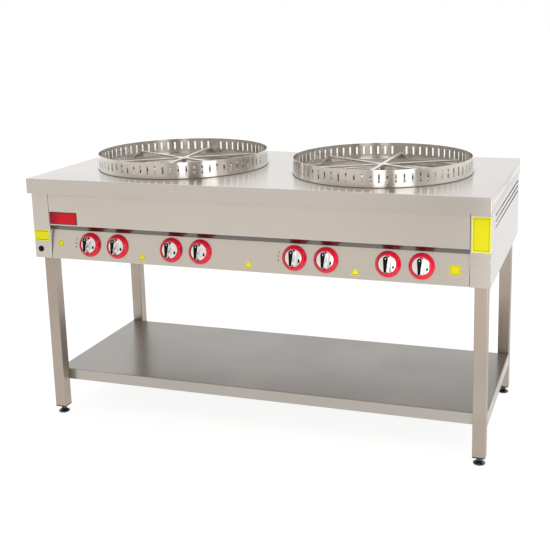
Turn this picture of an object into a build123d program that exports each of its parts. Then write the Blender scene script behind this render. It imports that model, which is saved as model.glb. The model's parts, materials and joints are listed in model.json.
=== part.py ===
from build123d import *
import os
from math import atan2, cos, degrees, hypot, radians, sin, sqrt

# Floor-standing gas stove with two tray stations, each a slotted wind guard round a rotating
# six-armed tray carrier over four ring burners, with eight taps and an open shelf below.
# Millimetres. X runs across the front, Y from front to back and Z up.
# The origin is on the floor, under the centre of the table top.

# Table top
TOP_WIDTH = 1536.0
TOP_DEPTH = 736.0
TOP_HEIGHT = 850.0
TOP_SHEET = 1.5
TOP_BEND_R = 3.0
LIP_HEIGHT = 50.0

# Body sheets under the top
BODY_DEPTH = 274.5
BODY_SHEET = 1.2
BODY_BEND_R = 2.0
LIP_CLEARANCE = 1.6
FRONT_SET_BACK = 23.0
CORNER_PANEL_WIDTH = 61.5
CORNER_TAB = 25.0
FASCIA_DEPTH = 160.5
FASCIA_TOP_FLANGE = 40.0
PANEL_SET_BACK = 20.0
PANEL_RISE = 96.0
PANEL_STRIP = 44.0
PANEL_BOTTOM_FLANGE = 15.0
SIDE_TOP_FLANGE = 31.0
SIDE_REAR_FLANGE = 31.0
BACK_TOP_FLANGE = 65.0
BACK_BOTTOM_FLANGE = 15.0
FLANGE_CLEARANCE = 1.0

# Side louvres: long slots, each with a pressed lip above it
LOUVRE_DEPTHS = (74.0, 92.5, 111.0)
LOUVRE_START = 105.0
LOUVRE_END_MARGIN = 31.0
LOUVRE_SLOT = 7.0
LOUVRE_LIP = 6.0

# Legs, upper frame and levelling feet
LEG_SIZE = 40.0
LEG_WALL = 1.5
LEG_CORNER_R = 2.5
LEG_SIDE_SET_IN = 14.5
LEG_FRONT_SET_IN = 53.0
LEG_BOTTOM = 28.0
FRAME_SIZE = 30.0
FRAME_WALL = 1.5
PLUG_PLATE = 4.0
PLUG_DEPTH = 16.0
PLUG_CLEARANCE = 0.1
FOOT_R = 19.0
FOOT_EDGE = 4.0
FOOT_BEVEL = 1.0
FOOT_SHOULDER = 12.0
FOOT_HEX_WIDTH = 17.0
FOOT_HEX_HEIGHT = 6.0
FOOT_STEM_R = 5.0
FOOT_STEM_TOP = 66.0
THREAD_CLEARANCE = 0.05

# Shelf
SHELF_TOP = 153.7
SHELF_SHEET = 1.5
SHELF_FLANGE = 37.6
STIFFENER_WIDTH = 80.0
STIFFENER_DEPTH = 25.0

# Tray stations
STATION_X = 359.5
STATION_Y = -5.0
STATION_SIDES = {"left": -1, "right": 1}

# Wind guard
GUARD_R = 295.0
GUARD_WALL = 1.5
GUARD_HEIGHT = 55.0
SLOT_WIDTH = 6.0
SLOT_FOOT = 15.0
SLOT_HEIGHT = 28.5
SLOT_PITCHES = 72
SEAM_ANGLE = 91.8

# Burner pan, hung in the top by its flange
PAN_SHEET = 1.5
PAN_R = 272.0
PAN_DEPTH = 70.0
PAN_CORNER = 12.0
PAN_FLANGE_GAP = 0.3
TOP_HOLE_CLEARANCE = 3.5

# Ring burners: four in each pan, from the inner to the outer, each with its feed below a tap
RING_PITCH = 60.0
RING_WALL_GAP = 22.0
RING_TAP_ORDER = (3, 1, 2, 0)
INNER_FEED_ANGLE = -20.0
RING_WIDTH = 20.0
RING_DEPTH = 20.0
RING_SHOULDER = 6.0
RING_SET_DOWN = 35.0
FEED_R = 11.0
FEED_BORE_R = 8.5
FEED_LENGTH = 75.0
FEED_HOLE_CLEARANCE = 2.0
BELL_R = 15.0
BELL_HEIGHT = 12.0
SUPPORT_BAR = 4.0
SUPPORT_OVERHANG = 14.0
SUPPORT_ANGLES = (30.0, 150.0, 270.0)

# Pivot post and tray carrier
POST_FLANGE_R = 20.0
POST_FLANGE = 3.0
POST_R = 8.0
PIN_R = 4.0
PIN_CLEARANCE = 0.05
PIN_END_GAP = 0.5
THRUST_GAP = 0.3
HUB_R = 20.0
CARRIER_RISE = 22.0
CARRIER_BAR = 5.0
ARM_WIDTH = 12.0
ARM_COUNT = 6
CARRIER_ANGLES = {"left": 33.0, "right": 29.0}
BOSS_TOP_R = 10.0
BOSS_BOTTOM_R = 6.0
BOSS_HEIGHT = 17.0
TOE_WIDTH = 50.0
TOE_LEAN = 14.0
TOE_PLATE = 3.0
TOE_SEAT = 3.0
TOE_GAP = 0.4

# Taps on the control panel
TAP_OFFSETS = (-200.0, -97.5, 97.5, 200.0)
TAP_UP_SLOPE = 53.0
BEZEL_R = 40.0
BEZEL_OPENING_R = 28.5
BEZEL_EDGE = 2.5
BEZEL_HEIGHT = 16.0
BEZEL_RIM = 2.5
DISC_CLEARANCE = 1.0
DISC_BACK = 5.0
DISC_EDGE = 13.5
DISC_CROWN = 17.0
GRIP_FRONT = 38.0
GRIP_TOP_R = 8.5
GRIP_BOTTOM_R = 5.0
GRIP_FLARE = 1.5
GRIP_END_MARGIN = 0.5
GRIP_ROOT = 1.0
INLAY_BORDER = 1.0
INLAY_DEPTH = 0.8
SPINDLE_R = 4.0
SPINDLE_FLAT = 3.0
SPINDLE_FRONT = 21.0
SPINDLE_BACK = -28.0
SPINDLE_HOLE_R = 6.0
KNOB_PRESS = 3.0
BORE_END_GAP = 1.0
SHAFT_CLEARANCE = 0.05

# Gas train behind the panel, its places counted back along each tap's own axis
VALVE_NECK_R = 9.0
VALVE_NECK = 6.0
VALVE_SIZE = 24.0
VALVE_LENGTH = 40.0
BOSS_R = 6.0
OUTLET_BOSS = 6.0
PIPE_R = 10.65
PIPE_BORE_R = 8.0
PIPE_BEND_R = 40.0
PIPE_CAP = 2.0
RAIL_BELOW_TAP = 26.0
RAIL_BEHIND_PANEL = 30.0
RAIL_END = 40.0
RAIL_SEAT_GAP = 0.15
INLET_SET_IN = 114.9
INLET_HEX = 27.0
INLET_HEX_LENGTH = 12.0
INLET_NECK_R = 9.5
INLET_HOLE_R = 12.0
INLET_THREAD_R = 10.48
INLET_THREAD_LENGTH = 16.0
INLET_STAND_OFF = 2.0
TUBE_R = 4.0
TUBE_FACETS = 8
TUBE_BEND_R = 20.0
TUBE_LEAD = 30.0
INJECTOR_WIDTH = 10.0
INJECTOR_LENGTH = 27.0
INJECTOR_REACH = 5.0
INJECTOR_TIP = 5.0
INJECTOR_TIP_R = 2.5

# Igniter in the left corner panel
IGNITER_SET_IN = 21.9
IGNITER_ABOVE_EDGE = 30.5
IGNITER_R = 8.5
IGNITER_FLANGE_R = 10.0
IGNITER_FLANGE = 1.5
IGNITER_DEPTH = 26.0
BUTTON_R = 6.5
BUTTON_CLEARANCE = 0.1
BUTTON_PROUD = 6.5
BUTTON_LENGTH = 14.0
BUTTON_TRAVEL = 5.0
BUTTON_BEVEL = 1.0
BUTTON_END_GAP = 1.0

# Screws that hold the back panel to the side panels
SCREWS_ABOVE_EDGE = (29.5, 114.5, 199.5)
SCREW_R = 2.0
SCREW_HEAD_R = 4.2
SCREW_HEAD = 1.6
SCREW_LENGTH = 8.0
SCREW_CLEARANCE = 0.1
SCREW_EDGE_DISTANCE = 12.0

# Places worked out from the sizes above
TOP_UNDERSIDE = TOP_HEIGHT - TOP_SHEET
BODY_BOTTOM = TOP_HEIGHT - BODY_DEPTH
FASCIA_BOTTOM = TOP_HEIGHT - FASCIA_DEPTH
SIDE_X = TOP_WIDTH / 2 - TOP_SHEET - LIP_CLEARANCE
BACK_Y = TOP_DEPTH / 2 - TOP_SHEET - LIP_CLEARANCE
FRONT_Y = -TOP_DEPTH / 2 + FRONT_SET_BACK
CORNER_X = SIDE_X - CORNER_PANEL_WIDTH
STRIP_Y = FRONT_Y + PANEL_SET_BACK
PANEL_SLOPE = hypot(PANEL_SET_BACK, PANEL_RISE)
PANEL_FOLD = BODY_BOTTOM + PANEL_RISE
LOUVRE_LENGTH = TOP_DEPTH - LOUVRE_START - LOUVRE_END_MARGIN
SCREW_HEIGHTS = [BODY_BOTTOM + rise for rise in SCREWS_ABOVE_EDGE]
LEG_OUTER_X = TOP_WIDTH / 2 - LEG_SIDE_SET_IN
LEG_OUTER_Y = TOP_DEPTH / 2 - LEG_FRONT_SET_IN
LEG_X = LEG_OUTER_X - LEG_SIZE / 2
LEG_Y = LEG_OUTER_Y - LEG_SIZE / 2
FRAME_TOP = TOP_UNDERSIDE - BODY_SHEET
FRAME_BOTTOM = FRAME_TOP - FRAME_SIZE
BACK_PANEL_Y = BACK_Y - BODY_SHEET
PAN_OUTER_R = PAN_R + PAN_SHEET
PAN_FLANGE_R = GUARD_R - GUARD_WALL - PAN_FLANGE_GAP
PAN_FLANGE_TOP = TOP_HEIGHT + PAN_SHEET
PAN_FLOOR = TOP_HEIGHT - PAN_DEPTH
PAN_FLOOR_TOP = PAN_FLOOR + PAN_SHEET
RING_BOTTOM = TOP_HEIGHT - RING_SET_DOWN
RING_FEED_TAPS = [TAP_OFFSETS[n] for n in RING_TAP_ORDER]
OUTER_RING_R = PAN_R - RING_WALL_GAP - RING_WIDTH / 2
RING_RADII = [OUTER_RING_R - RING_PITCH * n for n in reversed(range(len(RING_TAP_ORDER)))]
SUPPORT_REACH = OUTER_RING_R + SUPPORT_OVERHANG
FEED_BOTTOM = RING_BOTTOM - FEED_LENGTH
INJECTOR_TOP = FEED_BOTTOM + INJECTOR_REACH
INJECTOR_BOTTOM = INJECTOR_TOP - INJECTOR_LENGTH
CARRIER_BOTTOM = TOP_HEIGHT + CARRIER_RISE
CARRIER_TOP = CARRIER_BOTTOM + CARRIER_BAR
PIN_SHOULDER = CARRIER_BOTTOM - BOSS_HEIGHT - THRUST_GAP
DISC_R = BEZEL_OPENING_R - DISC_CLEARANCE
GRIP_REACH = DISC_R - GRIP_END_MARGIN - GRIP_FLARE
PANEL_TILT = degrees(atan2(PANEL_SET_BACK, PANEL_RISE))
INLET_X = SIDE_X - INLET_SET_IN
IGNITER_X = IGNITER_SET_IN - SIDE_X
IGNITER_Z = BODY_BOTTOM + IGNITER_ABOVE_EDGE
TAPS = [side * STATION_X + offset for side in STATION_SIDES.values() for offset in TAP_OFFSETS]


def block(x, y, z):
    """Box between the low and high values given for each axis."""
    size = [high - low for low, high in (x, y, z)]
    middle = [(high + low) / 2 for low, high in (x, y, z)]
    return Pos(*middle) * Box(*size)


def rod(radius, low, high):
    """Round bar on the Z axis between two heights."""
    return Pos(0, 0, low) * Cylinder(radius, high - low, align=(Align.CENTER, Align.CENTER, Align.MIN))


def turned(points):
    """Solid of revolution about Z from a closed outline of (radius, height) points."""
    outline = make_face(Polyline(*points, close=True))
    return revolve(Plane.XZ * outline, Axis.Z)


def folded(plane, points, length, inner_side, sheet=BODY_SHEET, bend=BODY_BEND_R):
    """Sheet folded along the outer line of points, drawn on the plane and run along its normal."""
    line = FilletPolyline(*points, radius=bend)
    section = make_face(offset(line, sheet, side=inner_side))
    return extrude(plane * section, length)


def folded_tray(width, depth, top, height, sheet, bend):
    """Flat sheet with its four edges folded down, open underneath."""
    outer = block((-width / 2, width / 2), (-depth / 2, depth / 2), (top - height, top))
    rim = outer.edges().filter_by(Axis.Z) + outer.edges().group_by(Axis.Z)[-1]
    inner = block(
        (sheet - width / 2, width / 2 - sheet),
        (sheet - depth / 2, depth / 2 - sheet),
        (top - height, top - sheet),
    )
    inner_rim = inner.edges().filter_by(Axis.Z) + inner.edges().group_by(Axis.Z)[-1]
    return fillet(rim, bend) - fillet(inner_rim, bend - sheet)


def at_station(side, angle=0.0):
    """Location of a tray station's axis on the floor, turned by an angle."""
    return Pos(STATION_SIDES[side] * STATION_X, STATION_Y, 0) * Rot(0, 0, angle)


def at_tap(x):
    """Plane on the control panel at a tap: normal out of the panel, y up its slope."""
    share = TAP_UP_SLOPE / PANEL_SLOPE
    origin = (x, FRONT_Y + PANEL_SET_BACK * share, BODY_BOTTOM + PANEL_RISE * share)
    return Plane(origin=origin, x_dir=(1, 0, 0), z_dir=(0, -PANEL_RISE, PANEL_SET_BACK))


def both_sides(shape):
    """A right-hand piece and its mirror image, by side name."""
    return {"right": shape, "left": mirror(shape, about=Plane.YZ)}


def feed_points():
    """Place of each burner's feed from the station's axis, from the inner ring to the outer."""
    points = []
    for radius, tap in zip(RING_RADII, RING_FEED_TAPS):
        if radius > abs(tap):
            points.append((tap, -sqrt(radius**2 - tap**2)))
        else:
            angle = radians(INNER_FEED_ANGLE)
            points.append((radius * cos(angle), radius * sin(angle)))
    return points


def top_sheet():
    """Table top with a folded lip all round and a round opening for each pan."""
    sheet = folded_tray(TOP_WIDTH, TOP_DEPTH, TOP_HEIGHT, LIP_HEIGHT, TOP_SHEET, TOP_BEND_R)
    opening = rod(PAN_OUTER_R + TOP_HOLE_CLEARANCE, TOP_HEIGHT - LIP_HEIGHT, TOP_HEIGHT + TOP_SHEET)
    return sheet - [at_station(side) * opening for side in STATION_SIDES]


def fascia():
    """Upright front sheet between the corner panels, folded back at its top and bottom."""
    points = [
        (FRONT_Y + FASCIA_TOP_FLANGE, TOP_UNDERSIDE),
        (FRONT_Y, TOP_UNDERSIDE),
        (FRONT_Y, FASCIA_BOTTOM),
        (STRIP_Y, FASCIA_BOTTOM),
    ]
    return folded(Plane.YZ.offset(-CORNER_X), points, 2 * CORNER_X, Side.LEFT)


def control_panel():
    """Sloping tap panel with a strip that rises behind the fascia and a hole for each tap."""
    points = [
        (FRONT_Y + PANEL_BOTTOM_FLANGE, BODY_BOTTOM),
        (FRONT_Y, BODY_BOTTOM),
        (STRIP_Y, PANEL_FOLD),
        (STRIP_Y, PANEL_FOLD + PANEL_STRIP),
    ]
    sheet = folded(Plane.YZ.offset(-CORNER_X), points, 2 * CORNER_X, Side.RIGHT)
    hole = rod(SPINDLE_HOLE_R, -2 * BODY_SHEET, BODY_SHEET)
    return sheet - [at_tap(x) * hole for x in TAPS]


def corner_panels():
    """Front corner sheets with a cheek beside the tap panel and a tab against the leg."""
    points = [
        (CORNER_X + CORNER_TAB, -LEG_OUTER_Y),
        (CORNER_X, -LEG_OUTER_Y),
        (CORNER_X, FRONT_Y),
        (SIDE_X, FRONT_Y),
    ]
    height = TOP_UNDERSIDE - BODY_BOTTOM
    panels = both_sides(folded(Plane.XY.offset(BODY_BOTTOM), points, height, Side.LEFT))
    hole = Pos(IGNITER_X, FRONT_Y, IGNITER_Z) * Rot(90, 0, 0) * Cylinder(IGNITER_R, 4 * BODY_SHEET)
    panels["left"] -= hole
    return panels


def side_panels():
    """Side sheets with flanges at top, bottom and rear, and three long louvres."""
    front = FRONT_Y + BODY_SHEET
    points = [
        (SIDE_X - SIDE_TOP_FLANGE, TOP_UNDERSIDE),
        (SIDE_X, TOP_UNDERSIDE),
        (SIDE_X, BODY_BOTTOM),
        (LEG_OUTER_X, BODY_BOTTOM),
    ]
    plane = Plane(origin=(0, BACK_Y, 0), x_dir=(1, 0, 0), z_dir=(0, -1, 0))
    panel = folded(plane, points, BACK_Y - front, Side.RIGHT)
    panel += block(
        (SIDE_X - SIDE_REAR_FLANGE, SIDE_X - BODY_SHEET),
        (BACK_PANEL_Y, BACK_Y),
        (BODY_BOTTOM + BODY_SHEET, TOP_UNDERSIDE - BODY_SHEET),
    )
    start = LOUVRE_START - TOP_DEPTH / 2
    for depth in LOUVRE_DEPTHS:
        height = TOP_HEIGHT - depth
        slot = SlotOverall(LOUVRE_LENGTH, LOUVRE_SLOT)
        face = Plane(origin=(SIDE_X, start + LOUVRE_LENGTH / 2, height), x_dir=(0, 1, 0), z_dir=(1, 0, 0))
        panel -= extrude(face * slot, 2 * BODY_SHEET, both=True)
        lip = Polyline(
            (SIDE_X - BODY_SHEET, height + LOUVRE_SLOT / 2),
            (SIDE_X - BODY_SHEET - LOUVRE_LIP, height - LOUVRE_SLOT / 2),
            (SIDE_X - BODY_SHEET - LOUVRE_LIP, height - LOUVRE_SLOT / 2 + BODY_SHEET),
            (SIDE_X - BODY_SHEET, height + LOUVRE_SLOT / 2 + BODY_SHEET),
            close=True,
        )
        lip_plane = Plane(origin=(0, start + LOUVRE_LENGTH, 0), x_dir=(1, 0, 0), z_dir=(0, -1, 0))
        panel += extrude(lip_plane * make_face(lip), LOUVRE_LENGTH)
    screw_hole = screw_shank(SCREW_R + SCREW_CLEARANCE)
    panel -= [Pos(SIDE_X - SCREW_EDGE_DISTANCE, BACK_Y, z) * screw_hole for z in SCREW_HEIGHTS]
    return both_sides(panel)


def back_panel():
    """Rear sheet between the side panels, with a hole for the gas inlet."""
    half_wide = SIDE_X - BODY_SHEET
    half_flanged = SIDE_X - max(SIDE_TOP_FLANGE, SIDE_REAR_FLANGE) - FLANGE_CLEARANCE
    points = [
        (BACK_PANEL_Y - BACK_TOP_FLANGE, TOP_UNDERSIDE),
        (BACK_PANEL_Y, TOP_UNDERSIDE),
        (BACK_PANEL_Y, BODY_BOTTOM),
        (BACK_PANEL_Y - BACK_BOTTOM_FLANGE, BODY_BOTTOM),
    ]
    panel = folded(Plane.YZ.offset(-half_flanged), points, 2 * half_flanged, Side.RIGHT)
    panel += block(
        (-half_wide, half_wide),
        (BACK_PANEL_Y - BODY_SHEET, BACK_PANEL_Y),
        (BODY_BOTTOM + BODY_BEND_R, TOP_UNDERSIDE - BODY_BEND_R),
    )
    _, _, inlet_z = rail_line()[-1]
    hole = Pos(INLET_X, BACK_PANEL_Y, inlet_z) * Rot(90, 0, 0) * Cylinder(INLET_HOLE_R, 4 * BODY_SHEET)
    screw_hole = screw_shank(SCREW_R + SCREW_CLEARANCE)
    screw_x = SIDE_X - SCREW_EDGE_DISTANCE
    holes = [Pos(side * screw_x, BACK_Y, z) * screw_hole for side in (-1, 1) for z in SCREW_HEIGHTS]
    return panel - hole - holes


def screw_shank(radius):
    """Round bar that runs forward from the back face, for a screw or its hole."""
    return Rot(90, 0, 0) * rod(radius, 0, SCREW_LENGTH)


def back_panel_screws():
    """Pan-head screws through the rear flanges into the back panel."""
    head = Rot(90, 0, 0) * rod(SCREW_HEAD_R, -SCREW_HEAD, 0)
    screw = head + screw_shank(SCREW_R)
    screw_x = SIDE_X - SCREW_EDGE_DISTANCE
    return [Pos(side * screw_x, BACK_Y, z) * screw for side in (-1, 1) for z in SCREW_HEIGHTS]


def upper_frame():
    """Perimeter and one cross member of channel, open side down, on top of the legs."""
    span = (FRAME_BOTTOM, FRAME_TOP)
    half = FRAME_SIZE / 2
    wall = FRAME_WALL
    frame = block((-LEG_OUTER_X, LEG_OUTER_X), (-LEG_OUTER_Y, LEG_OUTER_Y), span)
    groove = block(
        (wall - LEG_OUTER_X, LEG_OUTER_X - wall),
        (wall - LEG_OUTER_Y, LEG_OUTER_Y - wall),
        (FRAME_BOTTOM, FRAME_TOP - wall),
    )
    inner_x = LEG_OUTER_X - FRAME_SIZE
    inner_y = LEG_OUTER_Y - FRAME_SIZE
    for side in (-1, 1):
        middle = Pos(side * (inner_x + half) / 2, 0, 0)
        half_gap = (inner_x - half) / 2
        frame -= middle * block((-half_gap, half_gap), (-inner_y, inner_y), span)
        groove -= middle * block(
            (-half_gap - wall, half_gap + wall), (-inner_y - wall, inner_y + wall), span
        )
    return frame - groove


def leg():
    """Square tube leg from its plug to the upper frame, on the Z axis."""
    span = FRAME_BOTTOM - LEG_BOTTOM
    outer = RectangleRounded(LEG_SIZE, LEG_SIZE, LEG_CORNER_R)
    inner = Rectangle(LEG_SIZE - 2 * LEG_WALL, LEG_SIZE - 2 * LEG_WALL)
    return extrude(Plane.XY.offset(LEG_BOTTOM) * (outer - inner), span)


def leg_plug():
    """Plastic plug in a leg's open end, threaded for the levelling foot."""
    plate = RectangleRounded(LEG_SIZE, LEG_SIZE, LEG_CORNER_R)
    side = LEG_SIZE - 2 * LEG_WALL - 2 * PLUG_CLEARANCE
    plug = extrude(Plane.XY.offset(LEG_BOTTOM - PLUG_PLATE) * plate, PLUG_PLATE)
    plug += extrude(Plane.XY.offset(LEG_BOTTOM) * Rectangle(side, side), PLUG_DEPTH)
    return plug - rod(FOOT_STEM_R + THREAD_CLEARANCE, 0, LEG_BOTTOM + PLUG_DEPTH)


def levelling_foot():
    """Screw foot with a domed base, a hexagon to turn it by and a stem up into the plug."""
    hex_top = FOOT_SHOULDER + FOOT_HEX_HEIGHT
    neck_r = FOOT_HEX_WIDTH / 2
    base = turned(
        [
            (0, 0),
            (FOOT_R - FOOT_BEVEL, 0),
            (FOOT_R, FOOT_BEVEL),
            (FOOT_R, FOOT_EDGE),
            (neck_r, FOOT_SHOULDER),
            (0, FOOT_SHOULDER),
        ]
    )
    hexagon = RegularPolygon(FOOT_HEX_WIDTH / 2, 6, major_radius=False)
    foot = base + extrude(Plane.XY.offset(FOOT_SHOULDER) * hexagon, FOOT_HEX_HEIGHT)
    return foot + rod(FOOT_STEM_R, hex_top, FOOT_STEM_TOP)


def shelf():
    """Lower shelf between the front and the rear legs, its edges folded down."""
    depth = 2 * (LEG_OUTER_Y - LEG_SIZE)
    return folded_tray(2 * LEG_OUTER_X, depth, SHELF_TOP, SHELF_FLANGE, SHELF_SHEET, TOP_BEND_R)


def shelf_stiffener():
    """Channel under the middle of the shelf, from one end flange to the other."""
    half = STIFFENER_WIDTH / 2
    top = SHELF_TOP - SHELF_SHEET
    points = [(half, top - STIFFENER_DEPTH), (half, top), (-half, top), (-half, top - STIFFENER_DEPTH)]
    length = 2 * (LEG_OUTER_X - TOP_BEND_R)
    return folded(Plane.YZ.offset(-length / 2), points, length, Side.LEFT, SHELF_SHEET)


def wind_guard():
    """Rolled band with a ring of upright slots, left plain at its seam."""
    guard = rod(GUARD_R, TOP_HEIGHT, TOP_HEIGHT + GUARD_HEIGHT)
    guard -= rod(GUARD_R - GUARD_WALL, TOP_HEIGHT, TOP_HEIGHT + GUARD_HEIGHT)
    low = TOP_HEIGHT + SLOT_FOOT
    slot = block(
        (GUARD_R - 3 * GUARD_WALL, GUARD_R + GUARD_WALL),
        (-SLOT_WIDTH / 2, SLOT_WIDTH / 2),
        (low, low + SLOT_HEIGHT),
    )
    pitch = 360 / SLOT_PITCHES
    return guard - [Rot(0, 0, SEAM_ANGLE + pitch * n) * slot for n in range(1, SLOT_PITCHES)]


def pan():
    """Round dish with a flat rim that lies on the top, and a hole for each burner feed."""
    outer = turned(
        [
            (0, PAN_FLOOR),
            (PAN_OUTER_R - PAN_CORNER, PAN_FLOOR),
            (PAN_OUTER_R, PAN_FLOOR + PAN_CORNER),
            (PAN_OUTER_R, TOP_HEIGHT),
            (PAN_FLANGE_R, TOP_HEIGHT),
            (PAN_FLANGE_R, PAN_FLANGE_TOP),
            (0, PAN_FLANGE_TOP),
        ]
    )
    inner = turned(
        [
            (0, PAN_FLOOR_TOP),
            (PAN_R - PAN_CORNER, PAN_FLOOR_TOP),
            (PAN_R, PAN_FLOOR_TOP + PAN_CORNER),
            (PAN_R, PAN_FLANGE_TOP),
            (0, PAN_FLANGE_TOP),
        ]
    )
    hole = rod(FEED_R + FEED_HOLE_CLEARANCE, PAN_FLOOR, PAN_FLOOR_TOP)
    return outer - inner - [Pos(x, y, 0) * hole for x, y in feed_points()]


def ring_burner(radius, feed):
    """Ring with sloped shoulders and a bored feed that drops through the pan to a bell mouth."""
    inner, outer = radius - RING_WIDTH / 2, radius + RING_WIDTH / 2
    top = RING_BOTTOM + RING_DEPTH
    ring = turned(
        [
            (inner, RING_BOTTOM),
            (outer, RING_BOTTOM),
            (outer, top - RING_SHOULDER),
            (outer - RING_SHOULDER, top),
            (inner + RING_SHOULDER, top),
            (inner, top - RING_SHOULDER),
        ]
    )
    bell_top = FEED_BOTTOM + BELL_HEIGHT
    stem = turned(
        [
            (0, FEED_BOTTOM),
            (BELL_R, FEED_BOTTOM),
            (FEED_R, bell_top),
            (FEED_R, RING_BOTTOM + RING_DEPTH / 2),
            (0, RING_BOTTOM + RING_DEPTH / 2),
        ]
    )
    wall = FEED_R - FEED_BORE_R
    bore = turned(
        [
            (0, FEED_BOTTOM),
            (BELL_R - wall, FEED_BOTTOM),
            (FEED_BORE_R, bell_top),
            (FEED_BORE_R, RING_BOTTOM),
            (0, RING_BOTTOM),
        ]
    )
    place = Pos(*feed, 0)
    return ring + place * stem - place * bore


def burner_support():
    """Three upright bars on the pan's floor that carry the rings, joined round the post."""
    span = (PAN_FLOOR_TOP, RING_BOTTOM)
    collar_r = POST_FLANGE_R + 2 * SUPPORT_BAR
    opening_r = POST_FLANGE_R + SUPPORT_BAR / 2
    support = rod(collar_r, *span)
    bar = block((opening_r, SUPPORT_REACH), (-SUPPORT_BAR / 2, SUPPORT_BAR / 2), span)
    for angle in SUPPORT_ANGLES:
        support += Rot(0, 0, angle) * bar
    return support - rod(opening_r, *span)


def pivot_post():
    """Turned post on the pan's floor, with the pin that the tray carrier turns on."""
    pin_top = CARRIER_BOTTOM - PIN_END_GAP
    return turned(
        [
            (0, PAN_FLOOR_TOP),
            (POST_FLANGE_R, PAN_FLOOR_TOP),
            (POST_FLANGE_R, PAN_FLOOR_TOP + POST_FLANGE),
            (POST_R, PAN_FLOOR_TOP + POST_FLANGE),
            (POST_R, PIN_SHOULDER - POST_R),
            (BOSS_BOTTOM_R, PIN_SHOULDER),
            (PIN_R, PIN_SHOULDER),
            (PIN_R, pin_top),
            (0, pin_top),
        ]
    )


def tray_carrier():
    """Six flat arms from a hub, each ending in a flared toe bent down to the pan's rim."""
    toe_foot = PAN_FLANGE_TOP + TOE_GAP
    toe_foot_r = PAN_R + TOE_SEAT
    arm_reach = toe_foot_r - TOE_LEAN
    arm = block((0, arm_reach), (-ARM_WIDTH / 2, ARM_WIDTH / 2), (CARRIER_BOTTOM, CARRIER_TOP))
    drop = CARRIER_TOP - toe_foot
    lean = degrees(atan2(TOE_LEAN, drop))
    slant = hypot(TOE_LEAN, drop)
    toe = make_face(
        Polyline(
            (-ARM_WIDTH / 2, 0),
            (ARM_WIDTH / 2, 0),
            (ARM_WIDTH / 2, -CARRIER_BAR),
            (TOE_WIDTH / 2, -slant),
            (-TOE_WIDTH / 2, -slant),
            (-ARM_WIDTH / 2, -CARRIER_BAR),
            close=True,
        )
    )
    outward = Plane(origin=(arm_reach, 0, CARRIER_TOP), x_dir=(0, 1, 0), z_dir=(1, 0, 0))
    arm += extrude(outward * Rot(-lean, 0, 0) * toe, -TOE_PLATE)
    arm -= block((0, 2 * PAN_R), (-TOE_WIDTH, TOE_WIDTH), (toe_foot - CARRIER_BAR, toe_foot))
    arm -= block((0, 2 * PAN_R), (-TOE_WIDTH, TOE_WIDTH), (CARRIER_TOP, CARRIER_TOP + CARRIER_BAR))
    boss_foot = CARRIER_BOTTOM - BOSS_HEIGHT
    carrier = turned(
        [
            (0, boss_foot),
            (BOSS_BOTTOM_R, boss_foot),
            (BOSS_TOP_R, CARRIER_BOTTOM),
            (HUB_R, CARRIER_BOTTOM),
            (HUB_R, CARRIER_TOP),
            (0, CARRIER_TOP),
        ]
    )
    carrier += [Rot(0, 0, 360 / ARM_COUNT * n) * arm for n in range(ARM_COUNT)]
    return carrier - rod(PIN_R + PIN_CLEARANCE, boss_foot, CARRIER_BOTTOM)


def bezel():
    """Cone-faced ring round a knob, flat on the control panel."""
    return turned(
        [
            (BEZEL_OPENING_R, 0),
            (BEZEL_R, 0),
            (BEZEL_R, BEZEL_EDGE),
            (BEZEL_OPENING_R + BEZEL_RIM, BEZEL_HEIGHT),
            (BEZEL_OPENING_R, BEZEL_HEIGHT),
        ]
    )


def d_shaft(radius, flat, low, high):
    """Round bar on the Z axis with one flat side towards +X."""
    shaft = rod(radius, low, high)
    return shaft - block((flat, 2 * radius), (-radius, radius), (low, high))


def grip_outline(border):
    """Outline of the grip seen from the front, wide at its top, grown or shrunk by a border."""
    top = Pos(0, GRIP_REACH - GRIP_TOP_R) * Circle(GRIP_TOP_R + border)
    bottom = Pos(0, GRIP_BOTTOM_R - GRIP_REACH) * Circle(GRIP_BOTTOM_R + border)
    return make_hull(top.edges() + bottom.edges())


def knob():
    """Crowned disc with a tall tapered grip, a pocket for the inlay and a D-shaped bore."""
    edge, crown = (DISC_R, DISC_EDGE), (0, DISC_CROWN)
    rise = DISC_CROWN - DISC_EDGE
    dome_r = (DISC_R**2 + rise**2) / (2 * rise)
    outline = Polyline((0, DISC_CROWN), (0, DISC_BACK), (DISC_R, DISC_BACK), edge)
    face = make_face(outline + RadiusArc(edge, crown, -dome_r))
    shape = revolve(Plane.XZ * face, Axis.Z)
    grip_foot = Pos(0, 0, DISC_EDGE - GRIP_ROOT) * grip_outline(GRIP_FLARE)
    shape += loft([grip_foot, Pos(0, 0, GRIP_FRONT) * grip_outline(0)])
    shape -= extrude(Pos(0, 0, GRIP_FRONT) * grip_outline(-INLAY_BORDER), -INLAY_DEPTH)
    bore_end = SPINDLE_FRONT + KNOB_PRESS + BORE_END_GAP
    clear = SHAFT_CLEARANCE
    return shape - d_shaft(SPINDLE_R + clear, SPINDLE_FLAT + clear, DISC_BACK, bore_end)


def valve_spindle():
    """Tap spindle from inside its valve to inside its knob, with a flat for the knob."""
    plain = rod(SPINDLE_R, SPINDLE_BACK, 0)
    return plain + d_shaft(SPINDLE_R, SPINDLE_FLAT, 0, SPINDLE_FRONT)


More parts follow.
